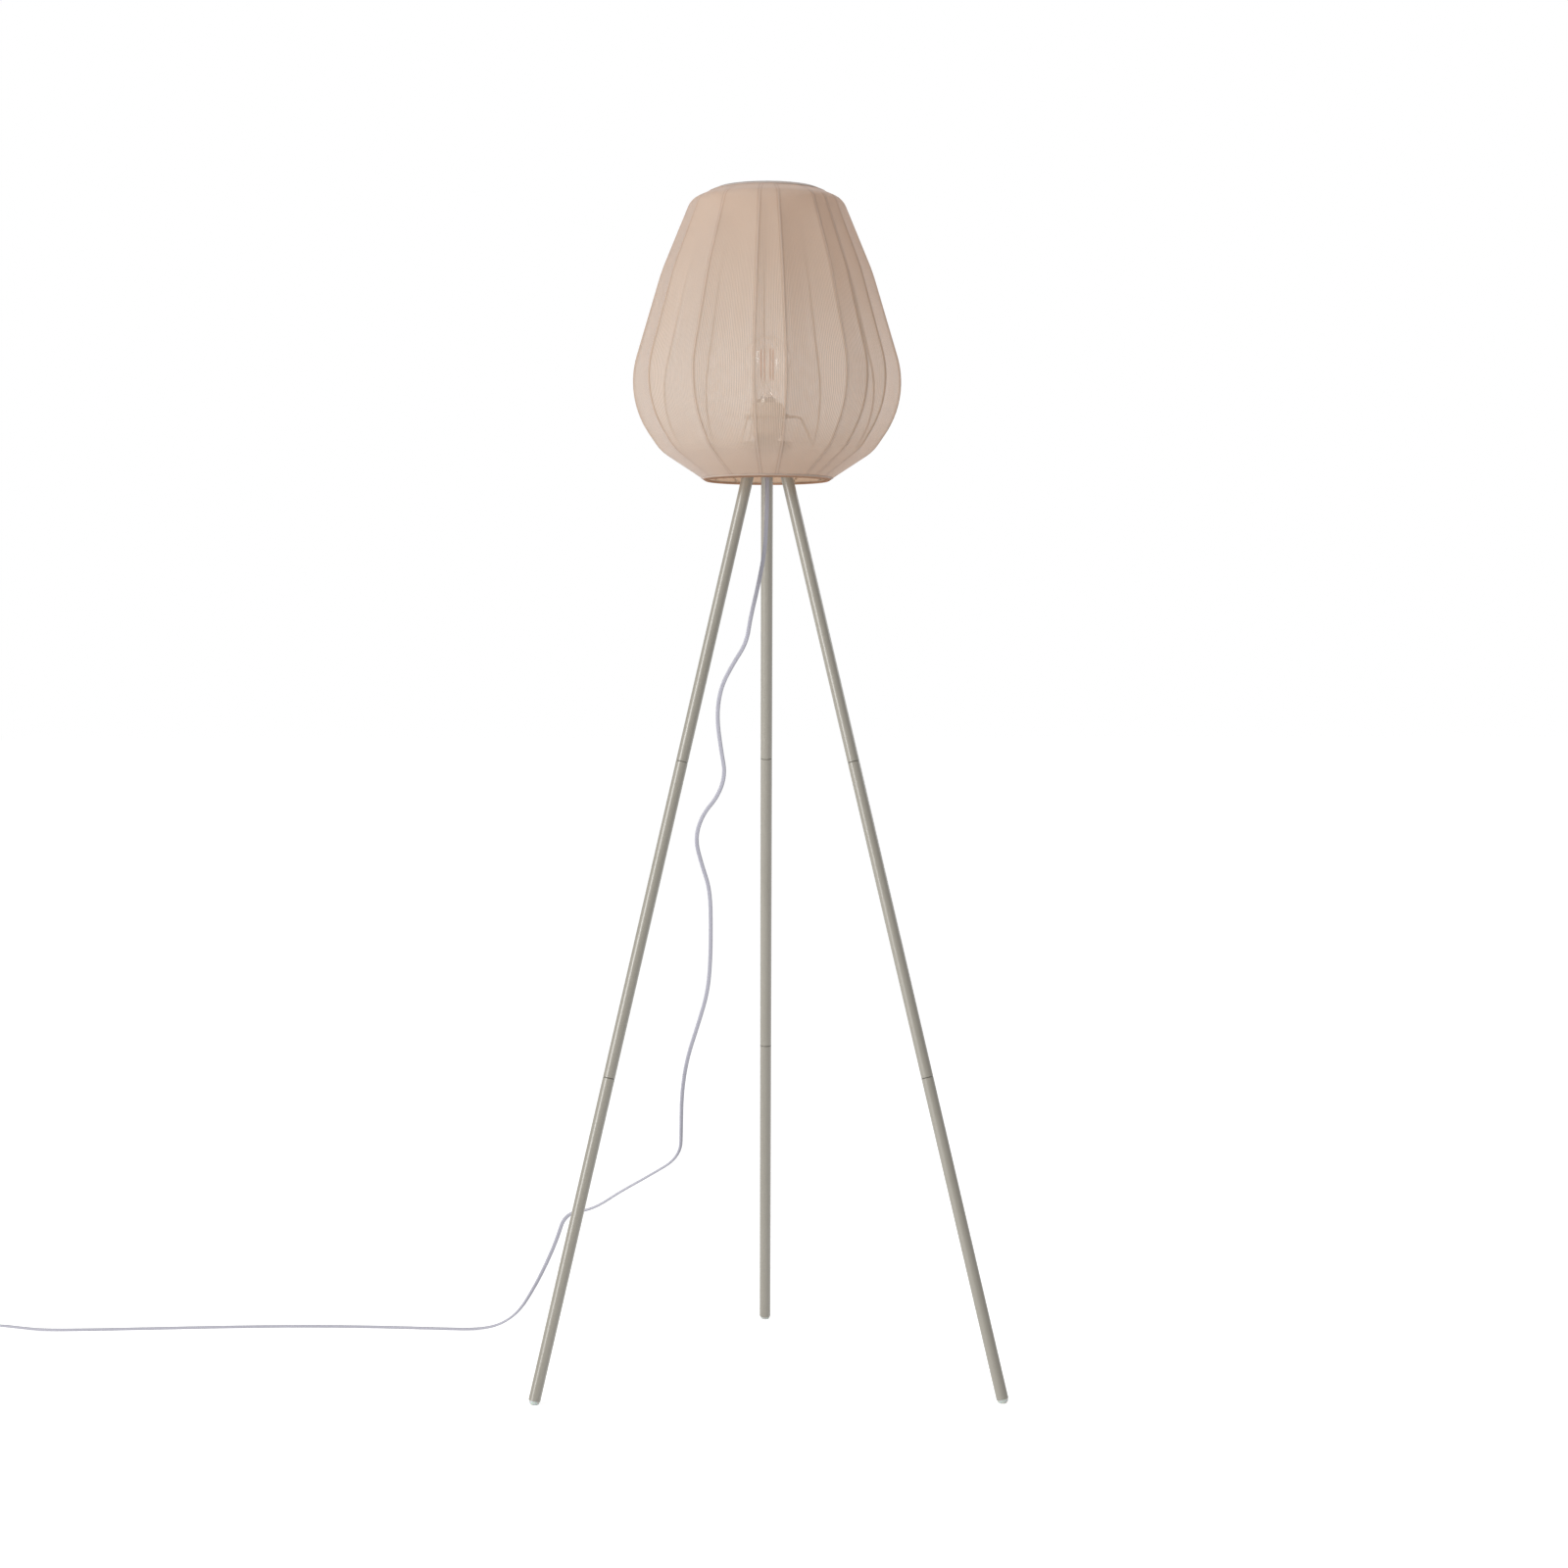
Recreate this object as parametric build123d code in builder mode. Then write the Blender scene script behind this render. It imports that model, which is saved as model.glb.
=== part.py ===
"""A floor lamp: three screwed tube legs, a lampholder with its bulb, and a sheer fabric shade on wire ribs.

Millimetres, +Z up. The front of the lamp faces -Y. The origin is on the floor, in the middle of the
lamp's own box, so the lamp's upright axis stands a quarter of the foot circle in front of it.
"""

import os
from math import acos, cos, pi, radians, sin, sqrt, tan

from build123d import *

os.makedirs("parts", exist_ok=True)

# Legs
LEG_ANGLES = {"left": -60, "right": 60, "back": 180}  # from the front, seen from above
LEG_LEAN = 14.9  # degrees from upright
LEG_CIRCLE = 20.06  # where the legs' axes end, under the hub
FOOT_RISE = 4.6  # from the floor to the lowest tube, along the leg
TUBE_LENGTH = 400
TUBE_DIAMETER = 15
TUBE_WALL = 1.2
TUBE_CHAMFER = 0.6
TUBES = ("lower", "middle", "upper")
STUD_DIAMETER = 8
STUD_REACH = 15  # how far a stud goes into the insert above it
STUD_IN_HUB = 9
INSERT_LENGTH = 18
INSERT_RECESS = 0.5
PLUG_LENGTH = 20  # the part of a joint stud that is pressed into the tube below it
GLIDE_SPIGOT = 12
GLIDE_DOME = 6.0  # how far the glide's dome bulges, before it is cut flat on the floor
DOME_KNEE = (0.78, 0.62)  # a point on the dome's curve, as shares of its radius and its bulge

# Hub
HUB_RADIUS = 31
HUB_THICKNESS = 10
HUB_EDGE = 2.5
HUB_CLEARANCE = 1.5  # from the highest tube corner to the disc
BOSS_MARGIN = 1.5  # how far a leg's boss stands out round its tube
NIPPLE_DIAMETER = 10
NIPPLE_BORE = 7.6
NIPPLE_BELOW = 14  # how far the nipple hangs below the hub
NIPPLE_IN_CAP = 6
NUT_FLATS = 14
NUT_THICKNESS = 4
WASHER_DIAMETER = 17
WASHER_THICKNESS = 1.2
GRIP_DIAMETER = 14
GRIP_TIP = 9
GRIP_LENGTH = 26

# Lampholder
HOLDER_RADIUS = 19.8
HOLDER_WALL = 2.8
CAP_HEIGHT = 18
CAP_FOOT_RADIUS = 12
CAP_SHOULDER = 9
CAP_FLOOR = 4
SHELL_HEIGHT = 29
FLANGE_RADIUS = 24
FLANGE_RISE = 9.5
FLANGE_THICKNESS = 1.6
CORE_FLOOR = 5
CORE_HEIGHT = 26
SOCKET_RADIUS = 13.4  # inside the screw shell
SOCKET_WALL = 0.6
SOCKET_RECESS = 1.0
TONGUE_RISE = 2.2
TONGUE_FOOT = 3  # how far the tongue's flat foot runs past the contact
WIRE_RISE = 1.6  # how far the wires stand upright before they spread
WIRE_BEND = 1.2
TERMINAL_SPACING = 18
TERMINAL_RADIUS = 2.0
TERMINAL_HEAD = 3.2
RING_NUT_HEIGHT = 10
RING_NUT_RADIUS = 27
RING_NUT_LIP = 2.5
RING_NUT_WALL = 2.8
RING_NUT_TEETH = 24
THREAD_PLAY = 0.15
SEAT_GAP = 0.1

# Bulb
BULB_RADIUS = 30
BULB_LENGTH = 106
BULB_CAP_RADIUS = 13.1
BULB_CAP_RISE = 3.2  # from the contact's tip to the threaded cap
BULB_CAP_HEIGHT = 23.8
BULB_CAP_WALL = 0.4
BULB_NECK_RADIUS = 12.6
GLASS_WALL = 0.8
CONTACT_RADIUS = 4.6
FILAMENTS = 4
FILAMENT_LENGTH = 38
FILAMENT_DIAMETER = 1.8
FILAMENT_CIRCLE = 8.5
FILAMENT_START = 24  # degrees from the front to the first filament
WAIST = (1.6, 14)  # how far the glass has swelled, and how far over the cap
NECK_STRAIGHT = 2  # the upright part of the glass's neck over the cap
BALL_START = 32  # degrees below the ball's middle where the glass becomes a ball
STEM_RADIUS = 8
STEM_TIP = 2.4
STEM_HEIGHT = 26
STEM_WAIST = 0.7  # the share of the stem's height where it has narrowed to its tip
STEM_ARM = 3  # how far below the tip the filaments' arms leave
ARM_BEND = 2

# Shade
RING_WIRE = 3.0
RIB_WIRE = 2.4
RIB_ANGLES = (-152, -128, -89, -61, -33, -6, 7.5, 35, 46.5, 60, 90, 124, 155, 181)
WELD_GAP = 0.1
BOTTOM_RING_RADIUS = 76.8
TOP_RING_RADIUS = 63.0
SHADE_HEIGHT = 361.0  # from the bottom ring to the top ring, which the ribs' corners have shares of
RIB_CORNERS = ((132.5, 0.10083), (177.4, 0.28449), (131.0, 0.71773), (94.8, 0.96094))  # radius, share
RIB_BENDS = (0.14294, 0.31634, 0.69529, 0.04626)  # the radius of the bend at each corner, as a share too
SPIDER_ANGLES = (85, -35, -155)
SPIDER_DROP = 77.4  # from the spider's plate down to the bottom ring
SPIDER_WIRE = 3.0
SPIDER_ELBOW = 42  # how far out the arms run level
SPIDER_BEND = 9
PLATE_WIDTH = 9
PLATE_THICKNESS = 1.5
FABRIC = 0.6
FABRIC_GAP = 0.3
FABRIC_SAG = 0.2  # how far the cloth's straight rows may cut across a bend of the ribs
CHORD_STEPS = 3  # straight pieces of cloth between two ribs
CHORD_FADE = 48  # how far from a ring the cloth turns from round to flat panels
HEM_WIDTH = 6
HEM_THICKNESS = 0.6
HEM_GAP = 0.25
HEM_FLAP = 0.4  # how far the hem comes up the inside of its ring, past the wire's middle

# Mains cord, switch and plug
CORD_DIAMETER = 5.2
COIL_PITCH = 5.8
COIL_RADIUS = 34.6  # the outermost turn, on the cord's axis
COIL_TURNS = 4.25
COIL_LEAD = 22
TIE_THICKNESS = 0.8
TIE_WIDTH = 5
TIE_GAP = 0.3
TIE_ANGLE = -45
SWITCH_CENTRE = (-1109, 179)
SWITCH_LENGTH = 70
SWITCH_WIDTH = 32
SWITCH_CORNER = 10
SWITCH_SPLIT = 9
SWITCH_HEIGHT = 20
SWITCH_WALL = 1.8
RELIEF_LENGTH = 14
RELIEF_ROOT = 9
RELIEF_TIP = 7
BUTTON_RADIUS = 11
BUTTON_PLAY = 0.25
BUTTON_RISE = 4.5
BUTTON_TRAVEL = 3.0
BUTTON_FLANGE = 1.5
BUTTON_LIP = 1.4  # how far the flange stands out under the cover
BLADE_INSET = 3  # from the button's rim to each contact blade
BLADE = (0.8, 5)
SPRING_RADIUS = 4.6
SPRING_WIRE = 0.7
SPRING_COILS = 5
POST_RADIUS = 3.2
SCREW_RADIUS = 1.4
SCREW_SPACING = 46
PLUG_WIDTH = 35.3
PLUG_HEIGHT = 13.7
PLUG_LENGTH_BODY = 36
PLUG_SHOULDER = 16
PLUG_NECK = (17, 11)
PLUG_CORNER = 4
PIN_SPACING = 19
PIN_DIAMETER = 4
PIN_LENGTH = 19
PIN_ROOT = 8  # how far each pin's narrower root reaches into the plug
PIN_ROOT_DIAMETER = 3.2
PLUG_RELIEF = 22

# The cord's inner points from the lamp to the switch, chosen by hand
CORD_POINTS = (
    (-1, -80.5, 1075),
    (-3, -77.5, 1040),
    (-12, -72.5, 995),
    (-21, -68.5, 958),
    (-26, -64.5, 926),
    (-44, -60.5, 898),
    (-59, -56.5, 869),
    (-64, -50.5, 832),
    (-58, -42.5, 787),
    (-53, -36.5, 759),
    (-62, -30.5, 731),
    (-83, -24.5, 706),
    (-92, -16.5, 675),
    (-84, -8.5, 643),
    (-73, -0.5, 609),
    (-72, 9.5, 561),
    (-73, 21.5, 509),
    (-77, 31.5, 471),
    (-89, 43.5, 430),
    (-104, 57.5, 383),
    (-111, 69.5, 337),
    (-112, 81.5, 290),
    (-113, 92.5, 248),
    (-158, 101.5, 220),
    (-195, 112.5, 198),
    (-229, 123.5, 174),
    (-268, 131.5, 167),
    (-280, 139.5, 129),
    (-297, 149.5, 90),
    (-313, 157.5, 59),
    (-332, 165, 28),
    (-357, 171, 9),
    (-389, 174.5, 2.6),
    (-436, 180, 2.6),
    (-496, 189, 2.6),
    (-563, 196, 2.6),
    (-634, 199, 2.6),
    (-706, 197, 2.6),
    (-778, 192, 2.6),
    (-848, 186, 2.6),
    (-914, 181, 2.6),
    (-974, 178.5, 2.8),
    (-1004, 178.5, 5.6),
)
CORD_MOUTH = (-82.45, 1137.53)  # y and z of the grip's mouth that the points were chosen for
CORD_RUN = 31  # the straight run under the lamp
BEND_SHARE = 0.45  # how much of a run between two points its bend may take
SWITCH_RUN = 28  # the straight run into the switch


# Places and small helpers
TUBE_BORE = TUBE_DIAMETER - 2 * TUBE_WALL
LEG_TOP = FOOT_RISE + len(TUBES) * TUBE_LENGTH
FOOT_CIRCLE = LEG_CIRCLE + LEG_TOP * sin(radians(LEG_LEAN))  # where the legs' axes meet the floor
LAMP_Y = -FOOT_CIRCLE / 4
LAMP = Plane((0, LAMP_Y, 0))
SIDE = Plane(origin=(0, LAMP_Y, 0), x_dir=(1, 0, 0), z_dir=(0, -1, 0))
UPRIGHT = Axis((0, LAMP_Y, 0), (0, 0, 1))

HUB_BOTTOM = LEG_TOP * cos(radians(LEG_LEAN)) + TUBE_DIAMETER / 2 * sin(radians(LEG_LEAN)) + HUB_CLEARANCE
HUB_TOP = HUB_BOTTOM + HUB_THICKNESS
NUT_BOTTOM = HUB_BOTTOM - NUT_THICKNESS
GRIP_BOTTOM = NUT_BOTTOM - GRIP_LENGTH
HOLDER_BOTTOM = HUB_TOP + WASHER_THICKNESS
SHELL_BOTTOM = HOLDER_BOTTOM + CAP_HEIGHT
FLANGE_TOP = SHELL_BOTTOM + FLANGE_RISE + FLANGE_THICKNESS
CORE_TOP = SHELL_BOTTOM + CORE_HEIGHT
BULB_TIP = SHELL_BOTTOM + CORE_FLOOR + TONGUE_RISE + SEAT_GAP
BULB_CAP_BOTTOM = BULB_TIP + BULB_CAP_RISE
BULB_CAP_TOP = BULB_CAP_BOTTOM + BULB_CAP_HEIGHT
PLATE_BOTTOM = FLANGE_TOP + SEAT_GAP
PLATE_TOP = PLATE_BOTTOM + PLATE_THICKNESS
BOTTOM_RING_Z = PLATE_BOTTOM - SPIDER_DROP
TOP_RING_Z = BOTTOM_RING_Z + SHADE_HEIGHT


def save(piece, name):
    """Labels a finished piece and writes it as its own file."""
    piece.part.label = name
    export_step(piece.part, f"parts/{name}.step")


def leg_plane(angle, along):
    """The plane square to a leg's axis, at a distance along it from the floor."""
    turn, lean = radians(angle), radians(LEG_LEAN)
    foot = Vector(FOOT_CIRCLE * sin(turn), LAMP_Y - FOOT_CIRCLE * cos(turn), 0)
    up = Vector(-sin(turn) * sin(lean), cos(turn) * sin(lean), cos(lean))
    return Plane(origin=foot + up * along, x_dir=(cos(turn), sin(turn), 0), z_dir=up)


def rod(plane, diameter, length, mode=Mode.ADD):
    """A round bar standing on a plane, inside the part that is being built."""
    with BuildSketch(plane) as disc:
        Circle(diameter / 2)
    extrude(disc.sketch, amount=length, mode=mode)


def turn(*outline, about=SIDE, axis=UPRIGHT):
    """Revolves an outline of (radius, height) points, inside the part that is being built."""
    with BuildSketch(about) as half:
        with BuildLine():
            Polyline(*outline, close=True)
        make_face()
    revolve(half.sketch, axis=axis)


def upright_plane(angle):
    """The upright plane through the lamp's axis, whose x runs out at an angle from the front."""
    out = Vector(sin(radians(angle)), -cos(radians(angle)), 0)
    return Plane(origin=(0, LAMP_Y, 0), x_dir=out, z_dir=out.cross(Vector(0, 0, 1)))


# Leg tubes, each with a fine chamfer that leaves a dark line at the joints
for side, angle in LEG_ANGLES.items():
    for step, height in enumerate(TUBES):
        with BuildPart() as tube:
            with BuildSketch(leg_plane(angle, FOOT_RISE + step * TUBE_LENGTH)):
                Circle(TUBE_DIAMETER / 2)
                Circle(TUBE_BORE / 2, mode=Mode.SUBTRACT)
            extrude(amount=TUBE_LENGTH)
            rims = tube.edges().filter_by(GeomType.CIRCLE)
            chamfer([rim for rim in rims if rim.radius > TUBE_DIAMETER / 2 - TUBE_WALL / 2], TUBE_CHAMFER)
        save(tube, f"leg_{side}_{height}_tube")

# Joint studs: a plug pressed into the top of a tube, with a stud for the insert in the next one
with BuildPart() as joint_studs:
    for angle in LEG_ANGLES.values():
        for step in range(1, len(TUBES)):
            seat = FOOT_RISE + step * TUBE_LENGTH
            rod(leg_plane(angle, seat - PLUG_LENGTH), TUBE_BORE, PLUG_LENGTH)
            rod(leg_plane(angle, seat), STUD_DIAMETER, STUD_REACH)
save(joint_studs, "tube_joint_studs")

# Inserts: the sleeves that take the studs, at the foot of the upper tubes and at the top of each leg
with BuildPart() as inserts:
    for angle in LEG_ANGLES.values():
        starts = [FOOT_RISE + step * TUBE_LENGTH + INSERT_RECESS for step in range(1, len(TUBES))]
        for start in [*starts, LEG_TOP - INSERT_RECESS - INSERT_LENGTH]:
            with BuildSketch(leg_plane(angle, start)):
                Circle(TUBE_BORE / 2)
                Circle(STUD_DIAMETER / 2, mode=Mode.SUBTRACT)
            extrude(amount=INSERT_LENGTH)
save(inserts, "tube_inserts")

# Glides: a spigot in the lowest tube and a dome that is flat where it stands
for side, angle in LEG_ANGLES.items():
    with BuildPart() as glide:
        rod(leg_plane(angle, FOOT_RISE), TUBE_BORE, GLIDE_SPIGOT)
        across = leg_plane(angle, FOOT_RISE)
        profile = Plane(origin=across.origin, x_dir=across.x_dir, z_dir=across.y_dir)
        with BuildSketch(profile):
            with BuildLine():
                rim = TUBE_DIAMETER / 2 - TUBE_CHAMFER
                Line((0, 0), (rim, 0))
                ThreePointArc((rim, 0), (rim * DOME_KNEE[0], GLIDE_DOME * DOME_KNEE[1]), (0, GLIDE_DOME))
                Line((0, GLIDE_DOME), (0, 0))
            make_face()
        revolve(axis=Axis(across.origin, across.z_dir))
        split(bisect_by=Plane.XY, keep=Keep.TOP)
    save(glide, f"leg_{side}_glide")

# Hub: a disc with a slanting boss for each leg
with BuildPart() as hub:
    with BuildSketch(LAMP.offset(HUB_BOTTOM)):
        Circle(HUB_RADIUS)
    extrude(amount=HUB_THICKNESS)
    fillet(hub.edges().filter_by(GeomType.CIRCLE), HUB_EDGE)
    for angle in LEG_ANGLES.values():
        rod(leg_plane(angle, LEG_TOP), TUBE_DIAMETER + 2 * BOSS_MARGIN, HUB_THICKNESS)
    split(bisect_by=LAMP.offset(HUB_TOP), keep=Keep.BOTTOM)
    for angle in LEG_ANGLES.values():
        rod(leg_plane(angle, LEG_TOP), STUD_DIAMETER, STUD_IN_HUB, Mode.SUBTRACT)
    rod(LAMP.offset(HUB_BOTTOM), NIPPLE_DIAMETER, HUB_THICKNESS, Mode.SUBTRACT)
save(hub, "hub")

with BuildPart() as hub_studs:
    for angle in LEG_ANGLES.values():
        rod(leg_plane(angle, LEG_TOP - STUD_REACH), STUD_DIAMETER, STUD_REACH + STUD_IN_HUB)
save(hub_studs, "hub_studs")

# Nipple, its nut and washer, and the grip that the cord comes out of
with BuildPart() as nipple:
    with BuildSketch(LAMP.offset(HUB_BOTTOM - NIPPLE_BELOW)):
        Circle(NIPPLE_DIAMETER / 2)
        Circle(NIPPLE_BORE / 2, mode=Mode.SUBTRACT)
    extrude(amount=NIPPLE_BELOW + HUB_THICKNESS + WASHER_THICKNESS + NIPPLE_IN_CAP)
save(nipple, "nipple")

with BuildPart() as nut:
    with BuildSketch(LAMP.offset(NUT_BOTTOM)):
        RegularPolygon(NUT_FLATS / 2, 6, major_radius=False)
        Circle(NIPPLE_DIAMETER / 2, mode=Mode.SUBTRACT)
    extrude(amount=NUT_THICKNESS)
save(nut, "nipple_nut")

with BuildPart() as washer:
    with BuildSketch(LAMP.offset(HUB_TOP)):
        Circle(WASHER_DIAMETER / 2)
        Circle(NIPPLE_DIAMETER / 2, mode=Mode.SUBTRACT)
    extrude(amount=WASHER_THICKNESS)
save(washer, "lock_washer")

with BuildPart() as grip:
    turn(
        (CORD_DIAMETER / 2, GRIP_BOTTOM),
        (GRIP_TIP / 2, GRIP_BOTTOM),
        (GRIP_DIAMETER / 2, NUT_BOTTOM - GRIP_LENGTH / 2),
        (GRIP_DIAMETER / 2, NUT_BOTTOM),
        (NIPPLE_DIAMETER / 2, NUT_BOTTOM),
        (NIPPLE_DIAMETER / 2, HUB_BOTTOM - NIPPLE_BELOW),
        (CORD_DIAMETER / 2, HUB_BOTTOM - NIPPLE_BELOW),
    )
save(grip, "cord_grip")

WIRE_START = SHELL_BOTTOM - CAP_HEIGHT / 3
with BuildPart() as inner_cord:
    rod(LAMP.offset(GRIP_BOTTOM), CORD_DIAMETER, WIRE_START - GRIP_BOTTOM)
save(inner_cord, "inner_cord")

# Lampholder
with BuildPart() as holder_cap:
    turn(
        (NIPPLE_DIAMETER / 2, HOLDER_BOTTOM),
        (CAP_FOOT_RADIUS, HOLDER_BOTTOM),
        (HOLDER_RADIUS, HOLDER_BOTTOM + CAP_SHOULDER),
        (HOLDER_RADIUS, SHELL_BOTTOM),
        (HOLDER_RADIUS - HOLDER_WALL, SHELL_BOTTOM),
        (HOLDER_RADIUS - HOLDER_WALL, HOLDER_BOTTOM + CAP_SHOULDER),
        (CAP_FOOT_RADIUS, HOLDER_BOTTOM + CAP_FLOOR),
        (NIPPLE_DIAMETER / 2, HOLDER_BOTTOM + CAP_FLOOR),
    )
save(holder_cap, "holder_cap")

with BuildPart() as holder_shell:
    turn(
        (HOLDER_RADIUS - HOLDER_WALL, SHELL_BOTTOM),
        (HOLDER_RADIUS, SHELL_BOTTOM),
        (HOLDER_RADIUS, FLANGE_TOP - FLANGE_THICKNESS),
        (FLANGE_RADIUS, FLANGE_TOP - FLANGE_THICKNESS),
        (FLANGE_RADIUS, FLANGE_TOP),
        (HOLDER_RADIUS, FLANGE_TOP),
        (HOLDER_RADIUS, SHELL_BOTTOM + SHELL_HEIGHT),
        (HOLDER_RADIUS - HOLDER_WALL, SHELL_BOTTOM + SHELL_HEIGHT),
    )
save(holder_shell, "holder_shell")

CORE_RADIUS = HOLDER_RADIUS - HOLDER_WALL
SOCKET_OUTER = SOCKET_RADIUS + SOCKET_WALL
TERMINAL_PLACES = (-TERMINAL_SPACING / 2, TERMINAL_SPACING / 2)
with BuildPart() as holder_core:
    turn(
        (0, SHELL_BOTTOM),
        (CORE_RADIUS, SHELL_BOTTOM),
        (CORE_RADIUS, CORE_TOP),
        (SOCKET_OUTER, CORE_TOP),
        (SOCKET_OUTER, SHELL_BOTTOM + CORE_FLOOR),
        (0, SHELL_BOTTOM + CORE_FLOOR),
    )
    for place in TERMINAL_PLACES:
        rod(LAMP.offset(SHELL_BOTTOM) * Pos(place, 0, 0), 2 * TERMINAL_RADIUS, CORE_FLOOR, Mode.SUBTRACT)
save(holder_core, "holder_core")

with BuildPart() as screw_shell:
    turn(
        (SOCKET_RADIUS, SHELL_BOTTOM + CORE_FLOOR + SOCKET_RECESS),
        (SOCKET_OUTER, SHELL_BOTTOM + CORE_FLOOR + SOCKET_RECESS),
        (SOCKET_OUTER, CORE_TOP - SOCKET_RECESS),
        (SOCKET_RADIUS, CORE_TOP - SOCKET_RECESS),
    )
save(screw_shell, "socket_screw_shell")

with BuildPart() as tongue:
    with BuildSketch(SIDE.offset(-TERMINAL_RADIUS)):
        with BuildLine():
            floor_z = SHELL_BOTTOM + CORE_FLOOR
            Polyline(
                (-CONTACT_RADIUS - TONGUE_FOOT, floor_z),
                (-CONTACT_RADIUS, floor_z),
                (0, floor_z + TONGUE_RISE - SOCKET_WALL),
                (CONTACT_RADIUS / 2, floor_z + TONGUE_RISE - SOCKET_WALL),
                (CONTACT_RADIUS / 2, floor_z + TONGUE_RISE),
                (-SOCKET_WALL / 2, floor_z + TONGUE_RISE),
                (-CONTACT_RADIUS - SOCKET_WALL / 2, floor_z + SOCKET_WALL),
                (-CONTACT_RADIUS - TONGUE_FOOT, floor_z + SOCKET_WALL),
                close=True,
            )
        make_face()
    extrude(amount=2 * TERMINAL_RADIUS)
save(tongue, "socket_contact_tongue")

with BuildPart() as terminals:
    for place in TERMINAL_PLACES:
        rod(LAMP.offset(SHELL_BOTTOM) * Pos(place, 0, 0), 2 * TERMINAL_RADIUS, CORE_FLOOR)
        rod(LAMP.offset(SHELL_BOTTOM) * Pos(place, 0, 0), 2 * TERMINAL_HEAD, -TERMINAL_HEAD)
save(terminals, "holder_terminal_screws")

wire_reach = TERMINAL_SPACING / 2 - TERMINAL_HEAD - CORD_DIAMETER / 8
with BuildPart() as wires:
    for way in (-1, 1):
        with BuildLine():
            FilletPolyline(
                (way * CORD_DIAMETER / 4, LAMP_Y, WIRE_START),
                (way * CORD_DIAMETER / 4, LAMP_Y, WIRE_START + WIRE_RISE),
                (way * wire_reach, LAMP_Y, SHELL_BOTTOM - TERMINAL_HEAD / 2),
                radius=WIRE_BEND,
            )
        with BuildSketch(Plane((way * CORD_DIAMETER / 4, LAMP_Y, WIRE_START))):
            Circle(CORD_DIAMETER / 5)
        sweep()
save(wires, "holder_wires")

# Ring nut that clamps the shade, with a toothed rim for the fingers
with BuildPart() as ring_nut:
    nut_bore = HOLDER_RADIUS + THREAD_PLAY
    turn(
        (nut_bore, PLATE_TOP + SEAT_GAP),
        (RING_NUT_RADIUS, PLATE_TOP + SEAT_GAP),
        (RING_NUT_RADIUS, PLATE_TOP + SEAT_GAP + RING_NUT_LIP),
        (nut_bore + RING_NUT_WALL, PLATE_TOP + SEAT_GAP + RING_NUT_LIP),
        (nut_bore + RING_NUT_WALL, PLATE_TOP + SEAT_GAP + RING_NUT_HEIGHT),
        (nut_bore, PLATE_TOP + SEAT_GAP + RING_NUT_HEIGHT),
    )
    with BuildSketch(LAMP.offset(PLATE_TOP + SEAT_GAP)):
        with PolarLocations(RING_NUT_RADIUS + RING_NUT_LIP / 4, RING_NUT_TEETH):
            Circle(RING_NUT_LIP / 2)
    extrude(amount=RING_NUT_LIP, mode=Mode.SUBTRACT)
save(ring_nut, "shade_ring_nut")

# Bulb
with BuildPart() as bulb_cap:
    inner = BULB_CAP_RADIUS - BULB_CAP_WALL
    turn(
        (inner, BULB_CAP_BOTTOM),
        (BULB_CAP_RADIUS, BULB_CAP_BOTTOM),
        (BULB_CAP_RADIUS, BULB_CAP_TOP),
        (inner, BULB_CAP_TOP),
    )
save(bulb_cap, "bulb_cap")

with BuildPart() as insulator:
    turn(
        (0, BULB_CAP_BOTTOM - BULB_CAP_RISE / 2),
        (CONTACT_RADIUS, BULB_CAP_BOTTOM - BULB_CAP_RISE / 2),
        (inner, BULB_CAP_BOTTOM),
        (inner, BULB_CAP_BOTTOM + BULB_CAP_RISE),
        (0, BULB_CAP_BOTTOM + BULB_CAP_RISE),
    )
save(insulator, "bulb_insulator")

with BuildPart() as contact:
    turn(
        (0, BULB_TIP),
        (CONTACT_RADIUS / 2, BULB_TIP),
        (CONTACT_RADIUS, BULB_CAP_BOTTOM - BULB_CAP_RISE / 2),
        (0, BULB_CAP_BOTTOM - BULB_CAP_RISE / 2),
    )
save(contact, "bulb_contact")

GLASS_BOTTOM = BULB_CAP_TOP - 2 * GLASS_WALL
BULB_TOP = BULB_TIP + BULB_LENGTH
BALL_Z = BULB_TOP - BULB_RADIUS


def glass_outline(inset):
    """The closed half outline of the bulb's glass, drawn this far inside its outer face."""
    ball, neck = BULB_RADIUS - inset, BULB_NECK_RADIUS - inset
    lift = BULB_CAP_TOP + NECK_STRAIGHT
    waist = (neck + WAIST[0], BULB_CAP_TOP + WAIST[1])
    low, high = radians(BALL_START), radians(BALL_START / 2)
    side = (ball * cos(low), BALL_Z - ball * sin(low))
    Line((0, GLASS_BOTTOM), (neck, GLASS_BOTTOM))
    Line((neck, GLASS_BOTTOM), (neck, lift))
    Spline((neck, lift), waist, side, tangents=((0, 1), (sin(low), cos(low))))
    ThreePointArc(side, (ball * cos(high), BALL_Z + ball * sin(high)), (0, BALL_Z + ball))
    Line((0, BALL_Z + ball), (0, GLASS_BOTTOM))


with BuildPart() as glass:
    with BuildSketch(SIDE):
        with BuildLine():
            glass_outline(0)
        make_face()
        with BuildLine():
            glass_outline(GLASS_WALL)
        make_face(mode=Mode.SUBTRACT)
    revolve(axis=UPRIGHT)
save(glass, "bulb_glass")

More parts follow.
